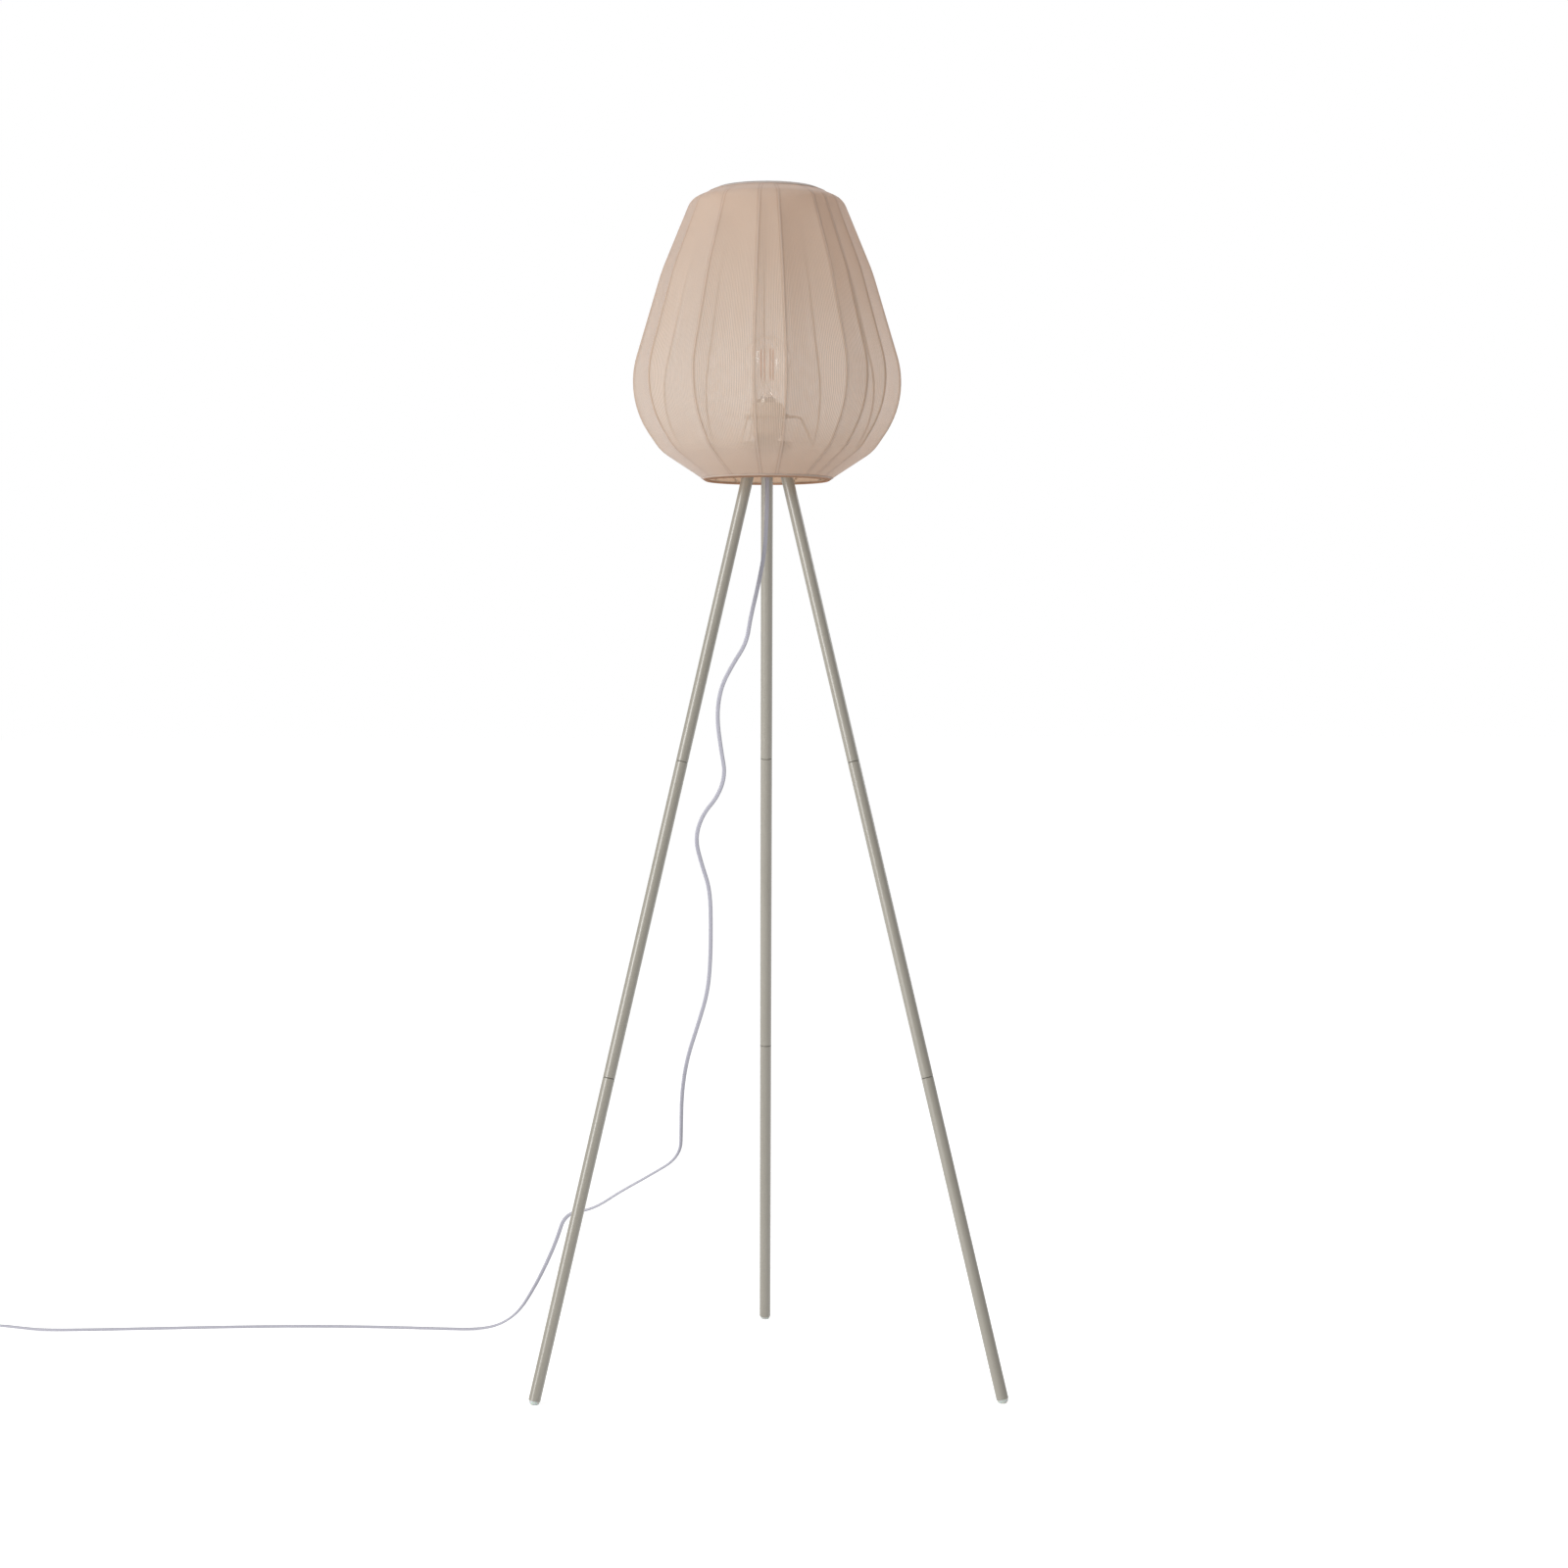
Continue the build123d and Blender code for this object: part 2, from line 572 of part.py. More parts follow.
STEM_TOP = GLASS_BOTTOM + STEM_HEIGHT
arm_level = STEM_TOP - STEM_ARM
with BuildPart() as stem:
    turn(
        (0, GLASS_BOTTOM),
        (BULB_NECK_RADIUS - GLASS_WALL, GLASS_BOTTOM),
        (BULB_NECK_RADIUS - GLASS_WALL, GLASS_BOTTOM + GLASS_WALL),
        (STEM_RADIUS, GLASS_BOTTOM + 3 * GLASS_WALL),
        (STEM_TIP, GLASS_BOTTOM + STEM_HEIGHT * STEM_WAIST),
        (STEM_TIP, STEM_TOP),
        (0, STEM_TOP),
    )
    for turned in range(FILAMENTS):
        arm_route = [(0, arm_level), (FILAMENT_CIRCLE, arm_level), (FILAMENT_CIRCLE, STEM_TOP)]
        with BuildLine(upright_plane(360 / FILAMENTS * turned + FILAMENT_START)) as arm:
            FilletPolyline(*arm_route, radius=ARM_BEND)
        with BuildSketch(Plane(origin=arm.line @ 0, z_dir=arm.line % 0)):
            Circle(FILAMENT_DIAMETER / 4)
        sweep(path=arm.line)
save(stem, "bulb_stem")

with BuildPart() as filaments:
    with BuildSketch(LAMP.offset(STEM_TOP)):
        with PolarLocations(FILAMENT_CIRCLE, FILAMENTS, start_angle=FILAMENT_START - 90):
            Circle(FILAMENT_DIAMETER / 2)
    extrude(amount=FILAMENT_LENGTH)
save(filaments, "bulb_filaments")

# Shade: the rib's centre line in an upright plane, as (radius, height) points
ring_bottom = Vector(BOTTOM_RING_RADIUS, BOTTOM_RING_Z)
ring_top = Vector(TOP_RING_RADIUS, TOP_RING_Z)
corners = [Vector(radius, BOTTOM_RING_Z + share * SHADE_HEIGHT) for radius, share in RIB_CORNERS]
bends = [share * SHADE_HEIGHT for share in RIB_BENDS]
ring_gap = RING_WIRE / 2 + WELD_GAP
rib_start = ring_bottom + (corners[0] - ring_bottom).normalized() * ring_gap
rib_end = ring_top + (corners[-1] - ring_top).normalized() * ring_gap
rib_path = [(point.X, point.Y) for point in (rib_start, *corners, rib_end)]
rib_line = FilletPolyline(*rib_path, radius=bends)

with BuildPart() as ribs:
    for angle in RIB_ANGLES:
        with BuildLine(upright_plane(angle)) as rib:
            FilletPolyline(*rib_path, radius=bends)
        with BuildSketch(Plane(origin=rib.line @ 0, z_dir=rib.line % 0)):
            Circle(RIB_WIRE / 2)
        sweep(path=rib.line)
save(ribs, "shade_ribs")


def wire_ring(radius, height):
    """A round wire ring about the lamp's axis, inside the part that is being built."""
    with BuildSketch(SIDE) as wire:
        with Locations((radius, height)):
            Circle(RING_WIRE / 2)
    revolve(wire.sketch, axis=UPRIGHT)


with BuildPart() as bottom_ring:
    wire_ring(BOTTOM_RING_RADIUS, BOTTOM_RING_Z)
save(bottom_ring, "shade_bottom_ring")

with BuildPart() as top_ring:
    wire_ring(TOP_RING_RADIUS, TOP_RING_Z)
save(top_ring, "shade_top_ring")

# Spider: a plate round the lampholder and three arms down to the bottom ring
plate_bore = HOLDER_RADIUS + THREAD_PLAY
with BuildPart() as spider_plate:
    with BuildSketch(LAMP.offset(PLATE_BOTTOM)):
        Circle(plate_bore + PLATE_WIDTH)
        Circle(plate_bore, mode=Mode.SUBTRACT)
    extrude(amount=PLATE_THICKNESS)
save(spider_plate, "spider_plate")

with BuildPart() as spider_arms:
    arm_z = PLATE_BOTTOM + PLATE_THICKNESS / 2
    elbow = Vector(SPIDER_ELBOW, arm_z)
    foot = ring_bottom + (elbow - ring_bottom).normalized() * (RING_WIRE / 2 + WELD_GAP)
    for angle in SPIDER_ANGLES:
        with BuildLine(upright_plane(angle)) as arm:
            FilletPolyline(
                (plate_bore + PLATE_WIDTH + WELD_GAP, arm_z),
                (SPIDER_ELBOW, arm_z),
                (foot.X, foot.Y),
                radius=SPIDER_BEND,
            )
        with BuildSketch(Plane(origin=arm.line @ 0, z_dir=arm.line % 0)):
            Circle(SPIDER_WIRE / 2)
        sweep(path=arm.line)
save(spider_arms, "spider_arms")


def cloth_row(share, clear):
    """(radius, height) on the cloth's face, this far outside a rib's middle at a share of its length."""
    along = rib_line % share
    return rib_line @ share + Vector(along.Y, -along.X) * clear


def row_shares():
    """Where the cloth's rows lie along a rib: at each bend's ends, and within it as the sag allows."""
    shares, passed = [0.0], 0.0
    for edge in rib_line.edges():
        if edge.geom_type == GeomType.CIRCLE:
            bend = edge.length / edge.radius
            parts = max(1, round(bend / (2 * acos(1 - FABRIC_SAG / edge.radius)) + 0.4))
            shares += [(passed + edge.length * part / parts) / rib_line.length for part in range(parts + 1)]
        passed += edge.length
    return [*shares, 1.0]


def cloth_loop(radius, height):
    """One level loop of the cloth: round at the rings, straight from rib to rib between them."""
    near = min(height - BOTTOM_RING_Z, TOP_RING_Z - height)
    roundness = max(0.0, 1 - max(near, 0) / CHORD_FADE) ** 1.5
    loop = []
    for first, second in zip(RIB_ANGLES, (*RIB_ANGLES[1:], RIB_ANGLES[0] + 360)):
        a, b = radians(first), radians(second)
        for step in range(CHORD_STEPS):
            part = step / CHORD_STEPS
            angle = a + (b - a) * part
            chord = Vector(sin(a), -cos(a)) * (1 - part) + Vector(sin(b), -cos(b)) * part
            circle = Vector(sin(angle), -cos(angle))
            loop.append((chord * (1 - roundness) + circle * roundness) * radius)
    return loop


def cloth_solid(clear, over, mode):
    """The solid inside one face of the cloth, which runs on past both ends by a little."""
    rows = [cloth_row(share, clear) for share in row_shares()]
    if over:
        rows[0] -= Vector(0, over)
        rows[-1] += Vector(0, over)
    sections = []
    for point in rows:
        with BuildSketch(LAMP.offset(point.Y)) as section:
            Polygon(*cloth_loop(point.X, point.Y), align=None)
        sections.append(section.sketch)
    loft(sections, ruled=True, mode=mode)


INNER_FACE = RIB_WIRE / 2 + FABRIC_GAP + FABRIC_SAG
with BuildPart() as fabric:
    cloth_solid(INNER_FACE + FABRIC, 0, Mode.ADD)
    cloth_solid(INNER_FACE, FABRIC, Mode.SUBTRACT)
save(fabric, "shade_fabric")


def hem(share, way):
    """A folded strip over one edge of the cloth: along it, round the edge and up the inside of the ring."""
    out = INNER_FACE + FABRIC + HEM_GAP + HEM_THICKNESS / 2
    edge = cloth_row(share, out)
    rest = cloth_row(share + way * HEM_WIDTH / rib_line.length, out)
    ring = ring_bottom if way > 0 else ring_top
    wrap = RING_WIRE / 2 + HEM_GAP + HEM_THICKNESS / 2
    level = way * min(way * edge.Y - wrap / 2, way * ring.Y - wrap)
    inside = Vector(ring.X - wrap, ring.Y + way * HEM_FLAP)
    with BuildSketch(SIDE) as strip:
        with BuildLine() as fold:
            Polyline(rest, edge, (edge.X, level), (inside.X, level), inside)
        trace(fold.line, line_width=HEM_THICKNESS)
    revolve(strip.sketch, axis=UPRIGHT)


with BuildPart() as bottom_hem:
    hem(0, 1)
save(bottom_hem, "shade_bottom_hem")

with BuildPart() as top_hem:
    hem(1, -1)
save(top_hem, "shade_top_hem")

# Cord from the lamp to the switch: straight runs joined by arcs as large as the runs allow


def bend_radii(route):
    """The radius at each inner point of a route, from the shorter run there and the turn."""
    points = [Vector(*point) for point in route]
    radii = []
    for before, here, after in zip(points, points[1:], points[2:]):
        turn_angle = radians((here - before).get_angle(after - here))
        shorter = min((here - before).length, (after - here).length)
        radii.append(BEND_SHARE * shorter / tan(turn_angle / 2))
    return radii


def hung(x, y, z):
    """A chosen point of the cord, moved with the grip that it hangs from and still resting on the floor."""
    rest = CORD_DIAMETER / 2
    share = (z - rest) / (CORD_MOUTH[1] - rest)
    return (x, y + (LAMP_Y - CORD_MOUTH[0]) * share, rest + (GRIP_BOTTOM - rest) * share)


switch_entry = Vector(SWITCH_CENTRE[0] + SWITCH_LENGTH / 2 + RELIEF_LENGTH, SWITCH_CENTRE[1], SWITCH_SPLIT)
cord_route = [
    (0, LAMP_Y, GRIP_BOTTOM),
    (0, LAMP_Y, GRIP_BOTTOM - CORD_RUN),
    *(hung(*point) for point in CORD_POINTS),
    (switch_entry.X + SWITCH_RUN, switch_entry.Y, switch_entry.Z),
    (switch_entry.X, switch_entry.Y, switch_entry.Z),
]
radii = bend_radii(cord_route)
with BuildPart() as cord:
    with BuildLine() as route:
        FilletPolyline(*cord_route, radius=radii)
    cord_path = route.wires()[0]
    with BuildSketch(Plane(origin=cord_path @ 0, z_dir=cord_path % 0)):
        Circle(CORD_DIAMETER / 2)
    sweep(path=cord_path)
save(cord, "cord")
cord_volume = pi * (CORD_DIAMETER / 2) ** 2 * cord_path.length
print("cord length", round(cord_path.length), "radii", [round(radius) for radius in radii])
print("cord volume", round(cord.part.volume), "of", round(cord_volume))

# Coil: the put-away length, wound inwards on one layer and outwards on the next
COIL_Z = TIE_THICKNESS + TIE_GAP + CORD_DIAMETER / 2
switch_exit = Vector(SWITCH_CENTRE[0] - SWITCH_LENGTH / 2 - RELIEF_LENGTH, SWITCH_CENTRE[1], SWITCH_SPLIT)
coil_start = switch_exit + Vector(-COIL_LEAD - CORD_DIAMETER, 0, COIL_Z - SWITCH_SPLIT)
coil_centre = coil_start - Vector(0, COIL_RADIUS, 0)
PLUG_Z = PLUG_HEIGHT / 2


def coil_point(turned):
    """The coil's axis after this many turns, and its direction there."""
    half = COIL_TURNS / 2
    inward = COIL_PITCH * (turned if turned < half else COIL_TURNS - turned)
    radius = COIL_RADIUS - inward
    climb = min(max((turned - half) * 2 + 0.5, 0), 1)
    height = COIL_Z + COIL_PITCH * (climb * climb * (3 - 2 * climb))
    angle = pi / 2 + 2 * pi * turned
    return coil_centre + Vector(radius * cos(angle), radius * sin(angle), height - COIL_Z)


def heading(turned, step=1e-4):
    """The coil's direction, from two points a hair apart."""
    low, high = max(turned - step, 0), min(turned + step, COIL_TURNS)
    return (coil_point(high) - coil_point(low)).normalized()


def biarc(start, start_way, end, end_way):
    """Two arcs that leave one point and reach another in the given directions."""
    gap, ways = end - start, start_way + end_way
    a, b, c = 2 * (1 - start_way.dot(end_way)), 2 * gap.dot(ways), -gap.dot(gap)
    reach = -c / b if abs(a) < 1e-9 else (-b + sqrt(b * b - 4 * a * c)) / (2 * a)
    middle = (start + end + (start_way - end_way) * reach) / 2
    first = TangentArc(start, middle, tangent=start_way)
    TangentArc(middle, end, tangent=first % 1)


spans = round(COIL_TURNS * 4)  # quarter turns
marks = [COIL_TURNS * mark / spans for mark in range(spans + 1)]
coil_end = coil_point(COIL_TURNS)
end_way = Vector(0, -1, 0)
plug_entry = coil_end + Vector(0, -COIL_LEAD - CORD_DIAMETER, PLUG_Z - coil_end.Z)
with BuildPart() as coil:
    with BuildLine() as winding:
        away = Vector(-1, 0, 0)
        Line(switch_exit, switch_exit + away * CORD_DIAMETER)
        biarc(switch_exit + away * CORD_DIAMETER, away, coil_start, heading(0))
        for low, high in zip(marks, marks[1:]):
            biarc(coil_point(low), heading(low), coil_point(high), heading(high))
        biarc(coil_end, heading(COIL_TURNS), plug_entry - end_way * CORD_DIAMETER, end_way)
        Line(plug_entry - end_way * CORD_DIAMETER, plug_entry)
    coil_path = winding.wires()[0]
    with BuildSketch(Plane(origin=switch_exit, z_dir=(-1, 0, 0))):
        Circle(CORD_DIAMETER / 2)
    sweep(path=coil_path)
save(coil, "cord_coil")

samples = [coil_point(COIL_TURNS * step / 1200) for step in range(1201)]
least = min(
    (samples[i] - samples[j]).length
    for i in range(0, 1201, 4)
    for j in range(i + 160, 1201, 4)
)
print("coil length", round(coil_path.length), "least gap", round(least - CORD_DIAMETER, 2))
print("coil volume", round(coil.part.volume), "of", round(pi * (CORD_DIAMETER / 2) ** 2 * coil_path.length))
print("whole cord", round(cord_path.length + coil_path.length + SWITCH_LENGTH + 2 * RELIEF_LENGTH))

# Tie round the coil
with BuildPart() as tie:
    bundle = COIL_PITCH * COIL_TURNS / 2 + CORD_DIAMETER + 2 * TIE_GAP
    layers = COIL_PITCH + CORD_DIAMETER + 2 * TIE_GAP
    out = Vector(cos(radians(TIE_ANGLE)), sin(radians(TIE_ANGLE)), 0)
    middle = coil_centre + out * (COIL_RADIUS - COIL_PITCH * COIL_TURNS / 4)
    centre = Vector(middle.X, middle.Y, TIE_THICKNESS + layers / 2)
    plane = Plane(origin=centre, x_dir=out, z_dir=out.cross(Vector(0, 0, 1)))
    with BuildSketch(plane.offset(-TIE_WIDTH / 2)):
        RectangleRounded(bundle + 2 * TIE_THICKNESS, layers + 2 * TIE_THICKNESS, CORD_DIAMETER / 2)
        RectangleRounded(bundle, layers, CORD_DIAMETER / 2 - TIE_THICKNESS, mode=Mode.SUBTRACT)
    extrude(amount=TIE_WIDTH)
save(tie, "cord_tie")

# Foot switch on the cord
SWITCH = Plane((*SWITCH_CENTRE, 0))
INNER = (SWITCH_LENGTH - 2 * SWITCH_WALL, SWITCH_WIDTH - 2 * SWITCH_WALL, SWITCH_CORNER - SWITCH_WALL)
SCREW_PLACES = [(-SCREW_SPACING / 2, 0), (SCREW_SPACING / 2, 0)]
CEILING = SWITCH_HEIGHT - SWITCH_WALL
FLANGE_Z = CEILING - SEAT_GAP - BUTTON_FLANGE

with BuildPart() as switch_base:
    with BuildSketch(SWITCH):
        RectangleRounded(SWITCH_LENGTH, SWITCH_WIDTH, SWITCH_CORNER)
    extrude(amount=SWITCH_SPLIT)
    chamfer(switch_base.faces().sort_by(Axis.Z)[0].edges(), SWITCH_WALL / 2)
    with BuildSketch(SWITCH.offset(SWITCH_WALL)):
        RectangleRounded(*INNER)
    extrude(amount=SWITCH_SPLIT, mode=Mode.SUBTRACT)
    with BuildSketch(SWITCH.offset(SWITCH_WALL / 2)):
        with Locations(*SCREW_PLACES):
            Circle(POST_RADIUS)
    extrude(amount=SWITCH_SPLIT - SWITCH_WALL / 2)
    with BuildSketch(SWITCH):
        with Locations(*SCREW_PLACES):
            Circle(SCREW_RADIUS)
    extrude(amount=SWITCH_SPLIT, mode=Mode.SUBTRACT)
save(switch_base, "switch_base")

with BuildPart() as switch_cover:
    with BuildSketch(SWITCH.offset(SWITCH_SPLIT)):
        RectangleRounded(SWITCH_LENGTH, SWITCH_WIDTH, SWITCH_CORNER)
    extrude(amount=SWITCH_HEIGHT - SWITCH_SPLIT)
    fillet(switch_cover.faces().sort_by(Axis.Z)[-1].edges(), 2 * SWITCH_WALL)
    with BuildSketch(SWITCH.offset(SWITCH_SPLIT)):
        RectangleRounded(*INNER)
    extrude(amount=CEILING - SWITCH_SPLIT, mode=Mode.SUBTRACT)
    with BuildSketch(SWITCH.offset(SWITCH_SPLIT)):
        with Locations(*SCREW_PLACES):
            Circle(POST_RADIUS)
    extrude(amount=CEILING - SWITCH_SPLIT)
    with BuildSketch(SWITCH.offset(SWITCH_SPLIT)):
        with Locations(*SCREW_PLACES):
            Circle(SCREW_RADIUS)
    extrude(amount=(CEILING - SWITCH_SPLIT) / 2, mode=Mode.SUBTRACT)
    rod(SWITCH.offset(CEILING), 2 * (BUTTON_RADIUS + BUTTON_PLAY), SWITCH_WALL, Mode.SUBTRACT)
save(switch_cover, "switch_cover")

with BuildPart() as screws:
    rod_length = SWITCH_SPLIT + (CEILING - SWITCH_SPLIT) / 2 - SWITCH_WALL / 2
    with BuildSketch(SWITCH.offset(SWITCH_WALL / 2)):
        with Locations(*SCREW_PLACES):
            Circle(SCREW_RADIUS)
    extrude(amount=rod_length)
save(screws, "switch_screws")

with BuildPart() as button:
    rod(SWITCH.offset(FLANGE_Z), 2 * (BUTTON_RADIUS + BUTTON_LIP), BUTTON_FLANGE)
    rod(SWITCH.offset(FLANGE_Z), 2 * BUTTON_RADIUS, SWITCH_HEIGHT + BUTTON_RISE - FLANGE_Z)
    fillet(button.faces().sort_by(Axis.Z)[-1].edges(), BUTTON_RISE / 2)
    rod(SWITCH.offset(FLANGE_Z - BUTTON_TRAVEL), SPRING_RADIUS, BUTTON_TRAVEL)
save(button, "switch_button")

SPRING_SEAT = SWITCH_WALL
with BuildPart() as spring:
    free = FLANGE_Z - SPRING_SEAT - 2 * SEAT_GAP - SPRING_WIRE
    with BuildLine(SWITCH.offset(SPRING_SEAT + SEAT_GAP + SPRING_WIRE / 2)) as wind:
        Helix(pitch=free / SPRING_COILS, height=free, radius=SPRING_RADIUS)
    with BuildSketch(Plane(origin=wind.line @ 0, z_dir=wind.line % 0)):
        Circle(SPRING_WIRE / 2)
    sweep(path=wind.line, is_frenet=True)
save(spring, "switch_spring")

with BuildPart() as contacts:
    with BuildSketch(SWITCH.offset(SWITCH_WALL)):
        with Locations((-BUTTON_RADIUS + BLADE_INSET, 0), (BUTTON_RADIUS - BLADE_INSET, 0)):
            Rectangle(*BLADE)
    extrude(amount=FLANGE_Z - BUTTON_TRAVEL - SWITCH_WALL - SEAT_GAP)
save(contacts, "switch_contacts")

with BuildPart() as reliefs:
    for way in (-1, 1):
        end = Vector(SWITCH_CENTRE[0] + way * SWITCH_LENGTH / 2, SWITCH_CENTRE[1], SWITCH_SPLIT)
        root = Plane(origin=end, x_dir=(0, 1, 0), z_dir=(way, 0, 0))
        with BuildSketch(root):
            Circle(RELIEF_ROOT / 2)
        with BuildSketch(root.offset(RELIEF_LENGTH)):
            Circle(RELIEF_TIP / 2)
        loft()
save(reliefs, "switch_strain_reliefs")

# Two-pin plug, lying beside the coil
PLUG_FACE = plug_entry + Vector(0, -PLUG_RELIEF, 0)
plug_back = Plane(origin=PLUG_FACE, x_dir=(1, 0, 0), z_dir=(0, -1, 0))
with BuildPart() as plug_body:
    with BuildSketch(plug_back):
        RectangleRounded(*PLUG_NECK, PLUG_CORNER)
    with BuildSketch(plug_back.offset(PLUG_SHOULDER)):
        RectangleRounded(PLUG_WIDTH, PLUG_HEIGHT, PLUG_CORNER)
    loft()
    with BuildSketch(plug_back.offset(PLUG_SHOULDER)):
        RectangleRounded(PLUG_WIDTH, PLUG_HEIGHT, PLUG_CORNER)
    extrude(amount=PLUG_LENGTH_BODY - PLUG_SHOULDER)
    with BuildSketch(plug_back.offset(PLUG_LENGTH_BODY - PIN_ROOT)):
        with Locations((-PIN_SPACING / 2, 0), (PIN_SPACING / 2, 0)):
            Circle(PIN_ROOT_DIAMETER / 2)
    extrude(amount=PIN_ROOT, mode=Mode.SUBTRACT)
save(plug_body, "plug_body")

with BuildPart() as pins:
    with BuildSketch(plug_back.offset(PLUG_LENGTH_BODY - PIN_ROOT)):
        with Locations((-PIN_SPACING / 2, 0), (PIN_SPACING / 2, 0)):
            Circle(PIN_ROOT_DIAMETER / 2)
    extrude(amount=PIN_ROOT)
    with BuildSketch(plug_back.offset(PLUG_LENGTH_BODY)):
        with Locations((-PIN_SPACING / 2, 0), (PIN_SPACING / 2, 0)):
            Circle(PIN_DIAMETER / 2)
    extrude(amount=PIN_LENGTH)
    tips = pins.edges().filter_by(GeomType.CIRCLE).group_by(Axis.Y)[0]
    fillet(tips, PIN_DIAMETER / 4)
save(pins, "plug_pins")

with BuildPart() as plug_relief:
    with BuildSketch(plug_back.offset(-PLUG_RELIEF)):
        Circle(RELIEF_TIP / 2)
    with BuildSketch(plug_back):
        Circle(RELIEF_ROOT / 2)
    loft()
save(plug_relief, "plug_strain_relief")
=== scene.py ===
"""A floor lamp on three screwed tube legs: its sheer ribbed shade, bulb, cord, foot switch and plug."""

import math

import bpy
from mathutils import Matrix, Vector


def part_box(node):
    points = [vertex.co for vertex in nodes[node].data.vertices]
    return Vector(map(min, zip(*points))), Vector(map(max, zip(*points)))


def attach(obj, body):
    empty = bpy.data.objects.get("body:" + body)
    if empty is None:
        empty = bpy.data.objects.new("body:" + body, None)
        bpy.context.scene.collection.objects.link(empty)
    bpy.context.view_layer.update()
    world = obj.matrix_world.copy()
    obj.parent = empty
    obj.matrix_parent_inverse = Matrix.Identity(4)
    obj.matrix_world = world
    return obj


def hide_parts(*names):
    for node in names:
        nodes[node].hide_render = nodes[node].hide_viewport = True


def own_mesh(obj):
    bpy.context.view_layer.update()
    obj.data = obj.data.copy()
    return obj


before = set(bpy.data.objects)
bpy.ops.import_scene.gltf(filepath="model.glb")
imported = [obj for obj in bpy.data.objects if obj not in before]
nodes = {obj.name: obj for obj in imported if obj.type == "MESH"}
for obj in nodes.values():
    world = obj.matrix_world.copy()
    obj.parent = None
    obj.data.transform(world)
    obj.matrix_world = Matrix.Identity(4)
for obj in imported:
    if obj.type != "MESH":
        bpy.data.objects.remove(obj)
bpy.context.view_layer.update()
MM = 0.001

# Where the lamp stands
FOOT_CIRCLE = 0.329802
LAMP_Y = -FOOT_CIRCLE / 4
LEG_ANGLES = {"left": -60, "right": 60, "back": 180}
LEG_LEAN = 14.9
LEG_JOINTS = (0.4046, 0.8046)  # along a leg, from the floor

# The shade's ribs, as the solids have them
RING_WIRE = 3 * MM
BOTTOM_RING_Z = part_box("shade_bottom_ring")[0].z + RING_WIRE / 2
BOTTOM_RING_RADIUS = 0.0768
TOP_RING_RADIUS = 0.063
SHADE_HEIGHT = 0.361
RIB_CORNERS = ((0.1325, 0.0364), (0.1774, 0.1027), (0.131, 0.2591), (0.0948, 0.3469))
RIB_BENDS = (0.0516, 0.1142, 0.251, 0.0167)
RIB_ANGLES = (-152, -128, -89, -61, -33, -6, 7.5, 35, 46.5, 60, 90, 124, 155, 181)
RIB_WIRE = 2.4 * MM
THREADS_ROUND = 460

# The cloth over the ribs
CLOTH_GAP = 0.35 * MM  # between a rib's wire and the cloth's face, and between the cloth and its hem
CLOTH_CLEAR = RIB_WIRE / 2 + CLOTH_GAP
CREST = 0.0016  # half of the strip of cloth that bends over a rib
CREST_RADIUS = 0.15  # where that strip has its width
BOW = 0.035  # how far a stretched panel draws in, as a share of its width
FADE = 0.048  # how far from a ring the cloth turns from round to drawn-in panels
FADE_CURVE = 1.3
PANEL_PARTS = 9

# The hems
HEM_WIDTH = 6 * MM
HEM_CLEAR = CLOTH_CLEAR + CLOTH_GAP
HEM_THICKNESS = 0.3 * MM
HEM_PARTS = 180


# Small helpers
def deselect():
    """Leaves nothing selected, so that an operator acts on its own piece alone."""
    bpy.ops.object.select_all(action="DESELECT")
    bpy.context.view_layer.objects.active = None


def new_piece(name, points, faces):
    """A smooth mesh piece at the origin, from its points and faces."""
    mesh = bpy.data.meshes.new(name)
    mesh.from_pydata([tuple(point) for point in points], [], faces)
    mesh.polygons.foreach_set("use_smooth", [True] * len(mesh.polygons))
    mesh.update()
    piece = bpy.data.objects.new(name, mesh)
    bpy.context.scene.collection.objects.link(piece)
    return piece


def dress(piece, material):
    """Gives a piece or a CAD node its finish."""
    if not piece.material_slots:
        piece.data.materials.append(material)
    for place in piece.material_slots:
        place.material = material


# Shader maths as expressions
class Socket:
    """One output of a node tree, with the operators that the finishes use."""

    def __init__(self, finish, link):
        self.finish = finish
        self.link = link

    def math(self, operation, other=None):
        values = [self] if other is None else [self, other]
        return self.finish.add("ShaderNodeMath", {"operation": operation}, dict(enumerate(values)))

    def __add__(self, other):
        return self.math("ADD", other)

    def __sub__(self, other):
        return self.math("SUBTRACT", other)

    def __rsub__(self, other):
        return self.finish.add("ShaderNodeMath", {"operation": "SUBTRACT"}, {0: other, 1: self})

    def __mul__(self, other):
        return self.math("MULTIPLY", other)

    def between(self, low, high, start=0.0, stop=1.0):
        """A smooth step from start at low to stop at high."""
        settings = {"interpolation_type": "SMOOTHSTEP"}
        values = {"Value": self, "From Min": low, "From Max": high, "To Min": start, "To Max": stop}
        return self.finish.add("ShaderNodeMapRange", settings, values)


